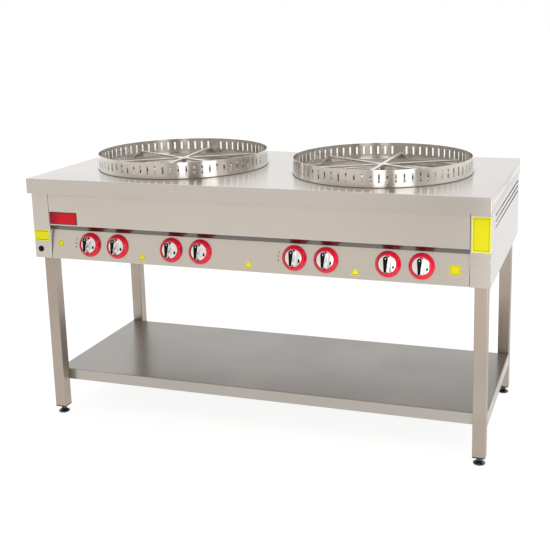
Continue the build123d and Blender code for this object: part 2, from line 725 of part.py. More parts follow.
def gas_valve():
    """Tap body behind the panel, with a neck, a boss down to the rail and a rear outlet."""
    neck_back = -BODY_SHEET - VALVE_NECK
    body_back = neck_back - VALVE_LENGTH
    half = VALVE_SIZE / 2
    valve = rod(VALVE_NECK_R, neck_back, -BODY_SHEET)
    valve += block((-half, half), (-half, half), (body_back, neck_back))
    valve += valve_outlet() * rod(BOSS_R, 0, half + OUTLET_BOSS)
    boss_foot = RAIL_BELOW_TAP - PIPE_R - RAIL_SEAT_GAP
    valve += Pos(0, 0, -RAIL_BEHIND_PANEL) * Rot(90, 0, 0) * rod(BOSS_R, half, boss_foot)
    return valve - rod(SPINDLE_R + SHAFT_CLEARANCE, SPINDLE_BACK - BORE_END_GAP, -BODY_SHEET)


def valve_outlet():
    """Location inside a tap body, in the tap's own axes, whose Z runs level to the rear."""
    return Pos(0, 0, VALVE_SIZE / 2 - BODY_SHEET - VALVE_NECK - VALVE_LENGTH) * Rot(180 + PANEL_TILT, 0, 0)


def rail_line():
    """Corner points of the gas rail: along the taps, then back to the inlet."""
    start = at_tap(0).from_local_coords((0, -RAIL_BELOW_TAP, -RAIL_BEHIND_PANEL))
    return [
        (min(TAPS) - RAIL_END, start.Y, start.Z),
        (INLET_X, start.Y, start.Z),
        (INLET_X, BACK_PANEL_Y - BODY_SHEET - INLET_HEX_LENGTH, start.Z),
    ]


def gas_manifold():
    """Pipe along the taps and back to the rear, ending in a nut and a threaded inlet."""
    line = FilletPolyline(*rail_line(), radius=PIPE_BEND_R)
    start = Plane(line @ 0, z_dir=line % 0)
    pipe = sweep(start * Circle(PIPE_R), line)
    bore = sweep(start * Circle(PIPE_BORE_R), line)
    cap = start * rod(PIPE_R, -PIPE_CAP, 0)
    end = Plane(line @ 1, z_dir=(0, 1, 0))
    nut = extrude(end * RegularPolygon(INLET_HEX / 2, 6, major_radius=False), INLET_HEX_LENGTH)
    thread_start = INLET_HEX_LENGTH + 2 * BODY_SHEET + INLET_STAND_OFF
    thread_end = thread_start + INLET_THREAD_LENGTH
    nut += end * rod(INLET_NECK_R, INLET_HEX_LENGTH, thread_start)
    nut += end * rod(INLET_THREAD_R, thread_start, thread_end)
    return pipe + cap + nut - bore - end * rod(PIPE_BORE_R, 0, thread_end)


def tube_lines():
    """Corner points of each gas tube, from its tap's outlet up to its burner's injector."""
    lines = []
    for side in STATION_SIDES.values():
        for tap, (x, y) in zip(RING_FEED_TAPS, feed_points()):
            outlet = at_tap(side * STATION_X + tap).location * valve_outlet()
            leaves = (outlet * Pos(0, 0, VALVE_SIZE / 2 + OUTLET_BOSS)).position
            turns = [] if x == tap else [leaves + Vector(0, TUBE_LEAD, 0)]
            under = (side * STATION_X + x, STATION_Y + y)
            lines.append([leaves, *turns, Vector(*under, leaves.Z), Vector(*under, INJECTOR_BOTTOM)])
    return lines


def gas_tubes():
    """Bent tubes from the taps to the injectors, drawn with a many-sided section."""
    tubes = []
    for points in tube_lines():
        line = FilletPolyline(*points, radius=TUBE_BEND_R)
        start = Plane(line @ 0, z_dir=line % 0)
        tubes.append(sweep(start * RegularPolygon(TUBE_R, TUBE_FACETS), line))
    return tubes


def injector():
    """Six-sided brass jet that stands on its tube's end and points up into the bell mouth."""
    hexagon = RegularPolygon(INJECTOR_WIDTH / 2, 6, major_radius=False)
    shoulder = INJECTOR_TOP - INJECTOR_TIP
    body = extrude(Plane.XY.offset(INJECTOR_BOTTOM) * hexagon, shoulder - INJECTOR_BOTTOM)
    return body + rod(INJECTOR_TIP_R, shoulder, INJECTOR_TOP)


def at_igniter():
    """Plane on the front sheet at the igniter, its normal out of the front."""
    return Plane(origin=(IGNITER_X, FRONT_Y, IGNITER_Z), x_dir=(1, 0, 0), z_dir=(0, -1, 0))


def igniter_body():
    """Barrel through the corner panel with a flange in front and a bore for its button."""
    barrel = rod(IGNITER_R - THREAD_CLEARANCE, -IGNITER_DEPTH, 0)
    barrel += rod(IGNITER_FLANGE_R, 0, IGNITER_FLANGE)
    depth = BUTTON_LENGTH - BUTTON_PROUD + BUTTON_TRAVEL + BUTTON_END_GAP
    return at_igniter() * (barrel - rod(BUTTON_R + BUTTON_CLEARANCE, -depth, IGNITER_FLANGE))


def igniter_button():
    """Round push button with a bevelled front."""
    back = BUTTON_PROUD - BUTTON_LENGTH
    return at_igniter() * turned(
        [
            (0, back),
            (BUTTON_R, back),
            (BUTTON_R, BUTTON_PROUD - BUTTON_BEVEL),
            (BUTTON_R - BUTTON_BEVEL, BUTTON_PROUD),
            (0, BUTTON_PROUD),
        ]
    )


def save(name, *shapes):
    """Write one node, of one or several solids, as parts/name.step."""
    node = shapes[0] if len(shapes) == 1 else Compound(children=list(shapes))
    export_step(node, f"parts/{name}.step")


def main():
    """Build every node and write it."""
    os.makedirs("parts", exist_ok=True)

    save("top_sheet", top_sheet())
    save("fascia", fascia())
    save("control_panel", control_panel())
    save("back_panel", back_panel())
    for side, panel in corner_panels().items():
        save(f"corner_panel_{side}", panel)
    for side, panel in side_panels().items():
        save(f"side_panel_{side}", panel)
    save("back_panel_screws", *back_panel_screws())

    save("upper_frame", upper_frame())
    corners = {"front": -LEG_Y, "rear": LEG_Y}
    places = {
        f"{row}_{side}": Pos(sign * LEG_X, y, 0)
        for row, y in corners.items()
        for side, sign in STATION_SIDES.items()
    }
    for corner, place in places.items():
        save(f"leg_{corner}", place * leg())
        save(f"levelling_foot_{corner}", place * levelling_foot())
    save("leg_plugs", *[place * leg_plug() for place in places.values()])
    save("shelf", shelf())
    save("shelf_stiffener", shelf_stiffener())

    for side in STATION_SIDES:
        station = at_station(side)
        save(f"wind_guard_{side}", station * wind_guard())
        save(f"pan_{side}", station * pan())
        save(f"tray_carrier_{side}", at_station(side, CARRIER_ANGLES[side]) * tray_carrier())
        for number, (radius, feed) in enumerate(zip(RING_RADII, feed_points()), start=1):
            save(f"ring_burner_{side}_{number}", station * ring_burner(radius, feed))
    save("pivot_posts", *[at_station(side) * pivot_post() for side in STATION_SIDES])
    save("burner_supports", *[at_station(side) * burner_support() for side in STATION_SIDES])

    for number, x in enumerate(TAPS, start=1):
        save(f"knob_{number}", at_tap(x) * knob())
        save(f"valve_spindle_{number}", at_tap(x) * valve_spindle())
    save("bezels", *[at_tap(x) * bezel() for x in TAPS])
    save("gas_valves", *[at_tap(x) * gas_valve() for x in TAPS])
    save("gas_manifold", gas_manifold())
    save("gas_tubes", *gas_tubes())
    feeds = [at_station(side) * Pos(x, y, 0) for side in STATION_SIDES for x, y in feed_points()]
    save("injectors", *[place * injector() for place in feeds])
    save("igniter_body", igniter_body())
    save("igniter_button", igniter_button())


main()
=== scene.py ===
import json
import logging
import math
from collections.abc import Callable
from dataclasses import dataclass
from enum import Enum

import bmesh
import bpy
import numpy as np
from mathutils import Matrix, Vector


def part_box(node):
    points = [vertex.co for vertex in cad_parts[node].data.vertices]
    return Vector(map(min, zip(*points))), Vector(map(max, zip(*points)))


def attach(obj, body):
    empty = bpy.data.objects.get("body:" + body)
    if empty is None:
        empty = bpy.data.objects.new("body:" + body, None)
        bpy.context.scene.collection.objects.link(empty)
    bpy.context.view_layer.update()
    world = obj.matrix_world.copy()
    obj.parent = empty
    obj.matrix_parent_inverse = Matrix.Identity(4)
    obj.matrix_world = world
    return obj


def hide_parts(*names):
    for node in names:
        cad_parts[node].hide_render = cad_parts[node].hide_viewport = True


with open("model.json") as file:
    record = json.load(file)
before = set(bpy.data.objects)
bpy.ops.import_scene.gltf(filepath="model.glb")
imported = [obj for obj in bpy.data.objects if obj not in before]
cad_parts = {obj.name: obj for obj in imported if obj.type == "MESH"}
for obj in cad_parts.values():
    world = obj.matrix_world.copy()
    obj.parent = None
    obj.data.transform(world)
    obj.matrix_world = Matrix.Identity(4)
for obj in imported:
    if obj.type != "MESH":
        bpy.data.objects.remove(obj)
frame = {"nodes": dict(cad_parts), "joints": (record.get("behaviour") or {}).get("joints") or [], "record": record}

log = logging.getLogger("tray_stove")

MM = 0.001
FULL_TURN = 2 * math.pi
NEAR_SAMPLES = 6             # rays that an edge or a recess is felt with
CREASE = math.radians(32)    # faces that meet more sharply than this keep their edge
Colour = tuple[float, float, float]
Span = tuple[float, float]
Place = tuple[float, float, float]
Box = tuple[Span, Span]
Levels = tuple[Span, ...]
Socket = bpy.types.NodeSocket
Value = float | Colour | Socket


def paint(red: int, green: int, blue: int) -> Colour:
    """Colour as seen on a screen, from 0 to 255, made linear for a shader.

    Args:
        red: its red part.
        green: its green part.
        blue: its blue part.

    Returns:
        The linear colour.
    """
    seen = np.array([red, green, blue]) / 255
    linear = np.where(seen <= 0.04045, seen / 12.92, ((seen + 0.055) / 1.055) ** 2.4)
    return tuple(linear.tolist())


def scaled(colour: Colour, share: float, lift: float = 0.0) -> Colour:
    """The colour times a share and plus a lift, with no part over 1."""
    return tuple(min(1.0, part * share + lift) for part in colour)


class NodeSketch:
    """Adds and joins the nodes of one material, world or group."""

    def __init__(self, tree: bpy.types.NodeTree) -> None:
        """Keep the tree and start it empty."""
        self.tree = tree
        tree.nodes.clear()

    def add(self, kind: str, inputs: dict | None = None, **settings: object) -> bpy.types.Node:
        """Add one node.

        Args:
            kind: the node's type.
            inputs: a value or an output socket for each input, by name or number.
            settings: the node's own options.

        Returns:
            The new node.
        """
        node = self.tree.nodes.new(kind)
        for name, value in settings.items():
            setattr(node, name, value)
        for key, value in (inputs or {}).items():
            socket = node.inputs[key]
            if isinstance(value, Socket):
                self.tree.links.new(value, socket)
            elif socket.type == "RGBA":
                socket.default_value = (*value, 1.0)
            else:
                socket.default_value = value
        return node

    def math(self, operation: str, *values: Value) -> Socket:
        """Result of one step of arithmetic on the values."""
        return self.add("ShaderNodeMath", dict(enumerate(values)), operation=operation).outputs[0]

    def times(self, value: Value, share: Value) -> Socket:
        """The value times a share."""
        return self.math("MULTIPLY", value, share)

    def raised(self, base: Value, value: Value, share: Value) -> Socket:
        """The base plus a share of the value."""
        return self.math("MULTIPLY_ADD", value, share, base)

    def vector(self, operation: str, *values: Value) -> bpy.types.NodeOutputs:
        """The Vector and Value outputs of one step of arithmetic on vectors."""
        inputs = dict(enumerate(values))
        return self.add("ShaderNodeVectorMath", inputs, operation=operation).outputs

    def parts(self, vector: Value) -> bpy.types.NodeOutputs:
        """A vector's X, Y and Z."""
        return self.add("ShaderNodeSeparateXYZ", {0: vector}).outputs

    def mix(self, mask: Value, low: Value, high: Value) -> Socket:
        """Colour that goes from low to high with the mask."""
        return self.add("ShaderNodeMix", {0: mask, 6: low, 7: high}, data_type="RGBA").outputs[2]

    def steps(self, value: Value, low: float, high: float) -> Socket:
        """Value eased from 0 at low to 1 at high."""
        inputs = {"Value": value, "From Min": low, "From Max": high}
        return self.add("ShaderNodeMapRange", inputs, interpolation_type="SMOOTHSTEP").outputs[0]

    def noise(self, place: Value, scale: Value, detail: float = 2.0) -> Socket:
        """Soft noise at a scale in cycles a metre."""
        inputs = {"Vector": place, "Scale": scale, "Detail": detail}
        return self.add("ShaderNodeTexNoise", inputs).outputs[0]

    def place(self) -> Socket:
        """Object coordinates, which are the stove's own in metres."""
        return self.add("ShaderNodeTexCoord").outputs["Object"]

    def facing(self) -> Socket:
        """The surface's true normal."""
        return self.add("ShaderNodeNewGeometry").outputs["Normal"]

    def rounded(self, reach: Value) -> Socket:
        """Normal that turns softly over the edges within a reach."""
        return self.add("ShaderNodeBevel", {"Radius": reach}, samples=NEAR_SAMPLES).outputs[0]

    def bump(self, height: Value, depth: float, strength: float, **onto: Socket) -> Socket:
        """Normal tilted by a height, on the true normal or on the one given as Normal."""
        inputs = {"Height": height, "Distance": depth, "Strength": strength, **onto}
        return self.add("ShaderNodeBump", inputs).outputs[0]

    def seen(self) -> Socket:
        """One where the camera looks straight at a thing, nothing where metal mirrors it."""
        return self.add("ShaderNodeLightPath").outputs["Is Camera Ray"]

    def pattern(self, tree: bpy.types.NodeTree, **inputs: Value) -> Socket:
        """Mask of a shared pattern group, with its inputs by name."""
        named = {name.capitalize(): value for name, value in inputs.items()}
        return self.add("ShaderNodeGroup", named, node_tree=tree).outputs[0]


def shared(name: str, mask: Callable[..., Socket], *inputs: str) -> bpy.types.NodeTree:
    """Build a node group once, with named inputs and one mask as its output.

    Args:
        name: the group's name.
        mask: makes the mask from the group's sketch and its inputs, in order.
        inputs: what each input is called.

    Returns:
        The finished group.
    """
    vectors = ("Coordinates", "Stretch")
    tree = bpy.data.node_groups.new(name, "ShaderNodeTree")
    for title in inputs:
        kind = "NodeSocketVector" if title in vectors else "NodeSocketFloat"
        tree.interface.new_socket(title, in_out="INPUT", socket_type=kind)
    tree.interface.new_socket("Mask", in_out="OUTPUT", socket_type="NodeSocketFloat")
    sketch = NodeSketch(tree)
    given = sketch.add("NodeGroupInput").outputs
    result = mask(sketch, *[given[title] for title in inputs])
    sketch.add("NodeGroupOutput", {"Mask": result})
    return tree


class Patterns:
    """The effects that several finishes share, each built once."""

    def __init__(self) -> None:
        """Build every group."""
        self.brushing = shared("brushing lines", self._brushing, "Coordinates", "Stretch")
        self.patches = shared("soft patches", self._patches, "Coordinates", "Size")
        self.edge_wear_and_glint = shared("edge wear and glint", self._edge_wear_and_glint, "Reach")
        self.scuffs = shared("fine scuffs", self._scuffs, "Coordinates", "Scale")
        self.speckle = shared("cast speckle", self._speckle, "Coordinates", "Size")
        self.recess = shared("recess shade", self._painted_recess_shade, "Reach")
        self.above = shared("over a height", self._above, "Coordinates", "Height")
        self.facing_up = shared("facing up", self._facing_up, "Coordinates", "Amount")

    @staticmethod
    def _brushing(sketch: NodeSketch, place: Socket, stretch: Socket) -> Socket:
        """Long fine lines: noise on coordinates that are stretched along the grain."""
        stretched = sketch.vector("MULTIPLY", place, stretch)["Vector"]
        return sketch.steps(sketch.noise(stretched, scale=1.0, detail=4.0), low=0.3, high=0.7)

    @staticmethod
    def _patches(sketch: NodeSketch, place: Socket, size: Socket) -> Socket:
        """Broad uneven areas of a given size, as wiping and handling leave them."""
        cloud = sketch.noise(place, sketch.math("DIVIDE", 1.0, size), detail=3.0)
        return sketch.steps(cloud, low=0.35, high=0.68)

    @staticmethod
    def _edge_wear_and_glint(sketch: NodeSketch, reach: Socket) -> Socket:
        """Edges, for a painted highlight on some finishes and for wear on others: how far a rounded normal leans
        from the true one within the reach.
        """
        alike = sketch.vector("DOT_PRODUCT", sketch.rounded(reach), sketch.facing())["Value"]
        return sketch.steps(sketch.math("SUBTRACT", 1.0, alike), low=0.01, high=0.25)

    @staticmethod
    def _scuffs(sketch: NodeSketch, place: Socket, scale: Socket) -> Socket:
        """Sparse short scratches: thin ridges of one noise, kept where a second is high.

        Args:
            sketch: the group's nodes.
            place: coordinates in metres.
            scale: cycles a metre of the first noise.

        Returns:
            The mask.
        """
        line = sketch.noise(place, scale, detail=1.0)
        ridge = sketch.math("ABSOLUTE", sketch.math("SUBTRACT", line, 0.5))
        thin = sketch.math("SUBTRACT", 1.0, sketch.steps(ridge, low=0.0, high=0.006))
        return sketch.times(thin, sketch.steps(sketch.noise(place, scale=9.0), low=0.52, high=0.7))

    @staticmethod
    def _speckle(sketch: NodeSketch, place: Socket, size: Socket) -> Socket:
        """Grain of a cast or moulded face at a given size."""
        return sketch.noise(place, sketch.math("DIVIDE", 1.0, size), detail=4.0)

    @staticmethod
    def _painted_recess_shade(sketch: NodeSketch, reach: Socket) -> Socket:
        """Painted shade in folds and gaps: how much of the near view round a point is closed.

        Args:
            sketch: the group's nodes.
            reach: how far the view is felt.

        Returns:
            The mask.
        """
        kind = "ShaderNodeAmbientOcclusion"
        open_share = sketch.add(kind, {"Distance": reach}, samples=NEAR_SAMPLES).outputs["AO"]
        return sketch.steps(sketch.math("SUBTRACT", 1.0, open_share), low=0.1, high=0.8)

    @staticmethod
    def _above(sketch: NodeSketch, place: Socket, height: Socket) -> Socket:
        """Everything over a given height, with a soft edge of 2 mm that wanders by 1 mm.

        Args:
            sketch: the group's nodes.
            place: coordinates in metres.
            height: where the mask starts.

        Returns:
            The mask.
        """
        wander = sketch.times(sketch.noise(place, scale=30.0), 1 * MM)
        over = sketch.math("ADD", sketch.parts(place)["Z"], wander)
        return sketch.steps(sketch.math("SUBTRACT", over, height), low=0.0, high=2 * MM)

    @staticmethod
    def _facing_up(sketch: NodeSketch, place: Socket, amount: Socket) -> Socket:
        """Painted shade on faces that look up, with long uneven drifts.

        Args:
            sketch: the group's nodes.
            place: coordinates in metres.
            amount: the mask's strength.

        Returns:
            The mask.
        """
        up = sketch.steps(sketch.parts(sketch.facing())["Z"], low=0.5, high=0.95)
        drift = sketch.raised(0.85, sketch.noise(place, scale=2.6), 0.3)
        return sketch.times(sketch.times(up, drift), amount)


PATTERNS = Patterns()


class Grain(Enum):
    """How a sheet is brushed: cycles a metre along each axis, the tangent's axis and its turn."""

    ALONG_X = ((2.0, 800.0, 800.0), "X", 0.0)
    ALONG_Y = ((800.0, 2.0, 800.0), "Y", 0.0)
    ALONG_Z = ((800.0, 800.0, 4.0), "Z", 0.0)
    ROUND_Z = ((6.0, 6.0, 700.0), "Z", 0.25)


@dataclass(frozen=True)
class Finish:
    """A surface as a maker would order it, turned into one material on first use."""

    name: str

    def material(self) -> bpy.types.Material:
        """The finish's material, made when it is first asked for.

        Returns:
            The material.
        """
        found = bpy.data.materials.get(self.name)
        if found is None:
            found = bpy.data.materials.new(self.name)
            found.use_nodes = True
            sketch = NodeSketch(found.node_tree)
            surface = sketch.add("ShaderNodeBsdfPrincipled", self.shader(sketch)).outputs[0]
            sketch.add("ShaderNodeOutputMaterial", {"Surface": surface})
        return found

    def shader(self, sketch: NodeSketch) -> dict[str, object]:
        """Inputs of the Principled shader, from nodes in the material's own tree."""
        raise NotImplementedError


@dataclass(frozen=True)
class BrushedSteel(Finish):
    """Brushed stainless sheet or tube, its reflections drawn out across the grain."""

    colour: Colour = (0.63, 0.59, 0.545)
    grain: Grain = Grain.ALONG_X
    roughness: float = 0.24
    drawn_out: float = 0.75
    line_depth: float = 0.025
    line_contrast: float = 0.014
    line_height: float = 0.02 * MM
    line_bump: float = 0.05
    patch_size: float = 0.22
    patch_contrast: float = 0.02
    patch_cover: float = 4.0
    patch_shade: float = 0.75
    stain_share: float = 1 / 3
    tint: Colour = (0.5, 0.4, 0.28)
    tint_amount: float = 0.0
    # Painted shade in folds and gaps: how far it reaches, how strong it is and how dark it makes the colour.
    recess_reach: float = 30 * MM
    recess_shade: float = 0.45
    recess_dark: float = 0.3
    # Painted shade on faces that look up, and how dark it makes the colour.
    upward_painted_shade: float = 0.0
    upward_shade_dark: float = 0.4
    edge: float = 0.8 * MM
    # A painted highlight along the edges: how much of it and its colour.
    edge_cover: float = 0.2
    edge_glint: Colour = (0.8, 0.77, 0.73)
    # Painted shade over a height: where it starts, how dark it makes the colour and how it changes the roughness.
    painted_shade_above: float = 0.0
    shade_above_dark: float = 0.42
    shade_above_rough: float = -0.12

    def shader(self, sketch: NodeSketch) -> dict[str, object]:
        """Lines and patches shift the colour and roughness, shade is painted into recesses, and a highlight is
        painted along the edges.

        Args:
            sketch: the material's nodes.

        Returns:
            The shader's inputs by name.
        """
        place = sketch.place()
        stretch, axis, turn = self.grain.value
        stain_size = self.patch_size * self.stain_share
        line = sketch.pattern(PATTERNS.brushing, coordinates=place, stretch=stretch)
        patch = sketch.pattern(PATTERNS.patches, coordinates=place, size=self.patch_size)
        stain = sketch.pattern(PATTERNS.patches, coordinates=place, size=stain_size)
        recess = sketch.pattern(PATTERNS.recess, reach=self.recess_reach)
        wear_and_glint = sketch.pattern(PATTERNS.edge_wear_and_glint, reach=self.edge)
        dark, light = (scaled(self.colour, 1 + s * self.line_contrast) for s in (-1, 1))
        colour = sketch.mix(line, dark, light)
        # The recess mask paints shade into folds and gaps, and the edge mask paints a highlight along the edges;
        # patches and stains are the sheet's own tone.
        for mask, cover, over in (
            (patch, self.patch_contrast * self.patch_cover, scaled(self.colour, self.patch_shade)),
            (stain, self.tint_amount, self.tint),
            (recess, self.recess_shade, scaled(self.colour, self.recess_dark)),
            (wear_and_glint, self.edge_cover, self.edge_glint),
        ):
            colour = sketch.mix(sketch.times(mask, cover), colour, over)
        rough = sketch.raised(self.roughness - self.line_depth / 2, line, self.line_depth)
        rough = sketch.raised(rough, patch, self.patch_contrast)
        # Painted shade on faces that look up.
        if self.upward_painted_shade:
            upward_shade = sketch.pattern(PATTERNS.facing_up, coordinates=place, amount=self.upward_painted_shade)
            colour = sketch.mix(upward_shade, colour, scaled(self.colour, self.upward_shade_dark))
        # Painted shade over the given height: darker colour and lower roughness above it.
        if self.painted_shade_above:
            shade_above = sketch.pattern(PATTERNS.above, coordinates=place, height=self.painted_shade_above)
            colour = sketch.mix(shade_above, colour, scaled(self.colour, self.shade_above_dark))
            rough = sketch.raised(rough, shade_above, self.shade_above_rough)
        rounded = sketch.rounded(self.edge)
        normal = sketch.bump(line, self.line_height, self.line_bump, Normal=rounded)
        inputs = {"Base Color": colour, "Metallic": 1.0, "Roughness": rough, "Normal": normal}
        if self.drawn_out:
            tangent = sketch.add("ShaderNodeTangent", direction_type="RADIAL", axis=axis)
            inputs |= {"Anisotropic": self.drawn_out, "Anisotropic Rotation": turn}
            inputs["Tangent"] = tangent.outputs[0]
        return inputs


@dataclass(frozen=True)
class PolishedChrome(Finish):
    """Bright plating with faint turning lines and finger marks."""

    colour: Colour = (0.86, 0.86, 0.87)
    roughness: float = 0.07
    smudge_size: float = 12 * MM
    smudge_rough: float = 0.05
    scuff_scale: float = 240.0
    scuff_rough: float = 0.12
    edge: float = 0.5 * MM
    # A painted highlight along the edges: how much of it and its colour.
    edge_cover: float = 0.5
    edge_glint: Colour = (0.97, 0.97, 0.97)

    def shader(self, sketch: NodeSketch) -> dict[str, object]:
        """Smudges raise the roughness, and edges get a little painted highlight.

        Args:
            sketch: the material's nodes.

        Returns:
            The shader's inputs by name.
        """
        place = sketch.place()
        smudge = sketch.pattern(PATTERNS.patches, coordinates=place, size=self.smudge_size)
        scuff = sketch.pattern(PATTERNS.scuffs, coordinates=place, scale=self.scuff_scale)
        wear_and_glint = sketch.times(sketch.pattern(PATTERNS.edge_wear_and_glint, reach=self.edge), self.edge_cover)
        rough = sketch.raised(self.roughness, smudge, self.smudge_rough)
        rough = sketch.raised(rough, scuff, self.scuff_rough)
        colour = sketch.mix(wear_and_glint, self.colour, self.edge_glint)
        return {"Base Color": colour, "Metallic": 1.0, "Roughness": rough}


@dataclass(frozen=True)
class Plastic(Finish):
    """Moulded plastic or rubber, from gloss to matt, with a fine moulded grain."""

    colour: Colour = (0.02, 0.02, 0.02)
    roughness: float = 0.25
    shine: float = 0.5
    coat: float = 0.0
    coat_roughness: float = 0.04
    patch_size: float = 20 * MM
    patch_rough: float = 0.08
    grain_size: float = 0.6 * MM
    grain_depth: float = 0.01 * MM
    grain_bump: float = 0.4
    edge: float = 0.6 * MM
    edge_cover: float = 0.5
    edge_share: float = 1.35
    edge_lift: float = 0.03

    def shader(self, sketch: NodeSketch) -> dict[str, object]:
        """Patches vary the roughness, speckle gives the grain, and edges are made lighter by the shared edge mask.

        Args:
            sketch: the material's nodes.

        Returns:
            The shader's inputs by name.
        """
        place = sketch.place()
        patch = sketch.pattern(PATTERNS.patches, coordinates=place, size=self.patch_size)
        speckle = sketch.pattern(PATTERNS.speckle, coordinates=place, size=self.grain_size)
        wear_and_glint = sketch.times(sketch.pattern(PATTERNS.edge_wear_and_glint, reach=self.edge), self.edge_cover)
        lighter = scaled(self.colour, self.edge_share, self.edge_lift)
        return {
            "Base Color": sketch.mix(wear_and_glint, self.colour, lighter),
            "Roughness": sketch.raised(self.roughness, patch, self.patch_rough),
            "Specular IOR Level": self.shine,
            "Coat Weight": self.coat,
            "Coat Roughness": self.coat_roughness,
            "Normal": sketch.bump(speckle, self.grain_depth, self.grain_bump),
        }


@dataclass(frozen=True)
class CastMetal(Finish):
    """Cast or heat-worn metal with a coarse grain, darker in patches."""

    colour: Colour = (0.1, 0.095, 0.09)
    bare: Colour = (0.3, 0.28, 0.26)
    metallic: float = 0.7
    roughness: float = 0.55
    patch_size: float = 40 * MM
    patch_shade: float = 0.6
    patch_rough: float = 0.12
    grain_size: float = 2.0 * MM
    grain_depth: float = 0.2 * MM
    grain_bump: float = 0.5
    edge: float = 0.8 * MM
    worn_reach: float = 1.2 * MM

    def shader(self, sketch: NodeSketch) -> dict[str, object]:
        """Speckle raises the surface, patches shift its colour and worn edges show bare metal.

        Args:
            sketch: the material's nodes.

        Returns:
            The shader's inputs by name.
        """
        place = sketch.place()
        patch = sketch.pattern(PATTERNS.patches, coordinates=place, size=self.patch_size)
        speckle = sketch.pattern(PATTERNS.speckle, coordinates=place, size=self.grain_size)
        wear_and_glint = sketch.times(sketch.pattern(PATTERNS.edge_wear_and_glint, reach=self.worn_reach), speckle)
        base = sketch.mix(patch, self.colour, scaled(self.colour, self.patch_shade))
        rounded = sketch.rounded(self.edge)
        return {
            "Base Color": sketch.mix(wear_and_glint, base, self.bare),
            "Metallic": self.metallic,
            "Roughness": sketch.raised(self.roughness, patch, self.patch_rough),
            "Normal": sketch.bump(speckle, self.grain_depth, self.grain_bump, Normal=rounded),
        }


@dataclass(frozen=True)
class PrintedVinyl(Finish):
    """Printed film or resin badge whose colour runs from one end to the other."""

    low: Colour = paint(226, 222, 8)
    high: Colour = paint(236, 230, 22)
    start: float = -1.0
    end: float = 1.0
    roughness: float = 0.32
    shine: float = 0.25
    coat: float = 0.0
    coat_roughness: float = 0.08
    fade_size: float = 15 * MM
    fade_cover: float = 0.12
    fade_share: float = 0.88
    fade_lift: float = 0.05
    fade_rough: float = 0.06
    grain_size: float = 0.9 * MM
    grain_depth: float = 0.02 * MM
    grain_bump: float = 0.25

    def shader(self, sketch: NodeSketch) -> dict[str, object]:
        """The colour follows X between the start and the end, with a little fading.

        Args:
            sketch: the material's nodes.

        Returns:
            The shader's inputs by name.
        """
        place = sketch.place()
        run = sketch.steps(sketch.parts(place)["X"], self.start, self.end)
        faded = sketch.pattern(PATTERNS.patches, coordinates=place, size=self.fade_size)
        speckle = sketch.pattern(PATTERNS.speckle, coordinates=place, size=self.grain_size)
        blend = sketch.mix(run, self.low, self.high)
        pale = scaled(self.high, self.fade_share, self.fade_lift)
        return {
            "Base Color": sketch.mix(sketch.times(faded, self.fade_cover), blend, pale),
            "Roughness": sketch.raised(self.roughness, faded, self.fade_rough),
            "Specular IOR Level": self.shine,
            "Coat Weight": self.coat,
            "Coat Roughness": self.coat_roughness,
            "Normal": sketch.bump(speckle, self.grain_depth, self.grain_bump),
        }


TOP_STEEL = BrushedSteel("brushed top", (0.59, 0.567, 0.537), roughness=0.23, drawn_out=0.93)
BODY_STEEL = BrushedSteel("brushed body", (0.62, 0.585, 0.545), roughness=0.25, drawn_out=0.9)
# The top of the tap panel, under the fascia's overhang, gets painted shade above this height.
TAP_PANEL_STEEL = BrushedSteel(
    "brushed tap panel", (0.63, 0.595, 0.555), roughness=0.25, drawn_out=0.9, painted_shade_above=0.6705
)
SIDE_STEEL = BrushedSteel("brushed side", (0.6, 0.58, 0.555), Grain.ALONG_Y, roughness=0.3)
LEG_STEEL = BrushedSteel(
    "brushed leg", (0.42, 0.36, 0.31), Grain.ALONG_Z, 0.33, patch_size=0.09, patch_contrast=0.04
)
# The shelf's darker colour and the darkening of its upward faces are painted shade from the body above it.
SHELF_STEEL = BrushedSteel(
    "brushed shelf", (0.45, 0.42, 0.385), roughness=0.28, upward_painted_shade=0.6, drawn_out=0.8
)
GUARD_STEEL = BrushedSteel(
    "rolled guard", (0.64, 0.61, 0.565), Grain.ROUND_Z, roughness=0.2, drawn_out=0.9,
    line_depth=0.03, patch_size=0.05, edge=0.4 * MM, recess_reach=8 * MM,
)
# Steel whose dark colour is painted shade under the fascia's overhang.
PAINTED_SHADE_STRIP_STEEL = BrushedSteel(
    "shaded strip", (0.165, 0.15, 0.14), roughness=0.13, drawn_out=0.4, patch_size=0.05,
    recess_shade=0.35,
)
PAN_STEEL = BrushedSteel(
    "pressed pan", (0.76, 0.73, 0.69), roughness=0.28, drawn_out=0.0, patch_size=0.07,
    tint_amount=0.1, recess_shade=0.12,
)
CARRIER_STEEL = BrushedSteel(
    "carrier bar", (0.62, 0.58, 0.53), roughness=0.26, drawn_out=0.0, patch_size=0.05,
    tint_amount=0.18,
)
FRAME_STEEL = BrushedSteel(
    "frame channel", (0.5, 0.47, 0.44), roughness=0.36, drawn_out=0.0, patch_size=0.1
)
SCREW_STEEL = BrushedSteel(
    "screw", (0.6, 0.59, 0.57), roughness=0.25, drawn_out=0.0, patch_size=0.01, edge=0.3 * MM
)
KNOB_CHROME = PolishedChrome("knob chrome")
GRIP_CHROME = PolishedChrome("satin grip", (0.8, 0.8, 0.81), roughness=0.24)
BURNER_STEEL = CastMetal(
    "ring burner steel", (0.62, 0.59, 0.55), bare=(0.75, 0.72, 0.68), metallic=1.0,
    roughness=0.34, grain_size=3.0 * MM,
)
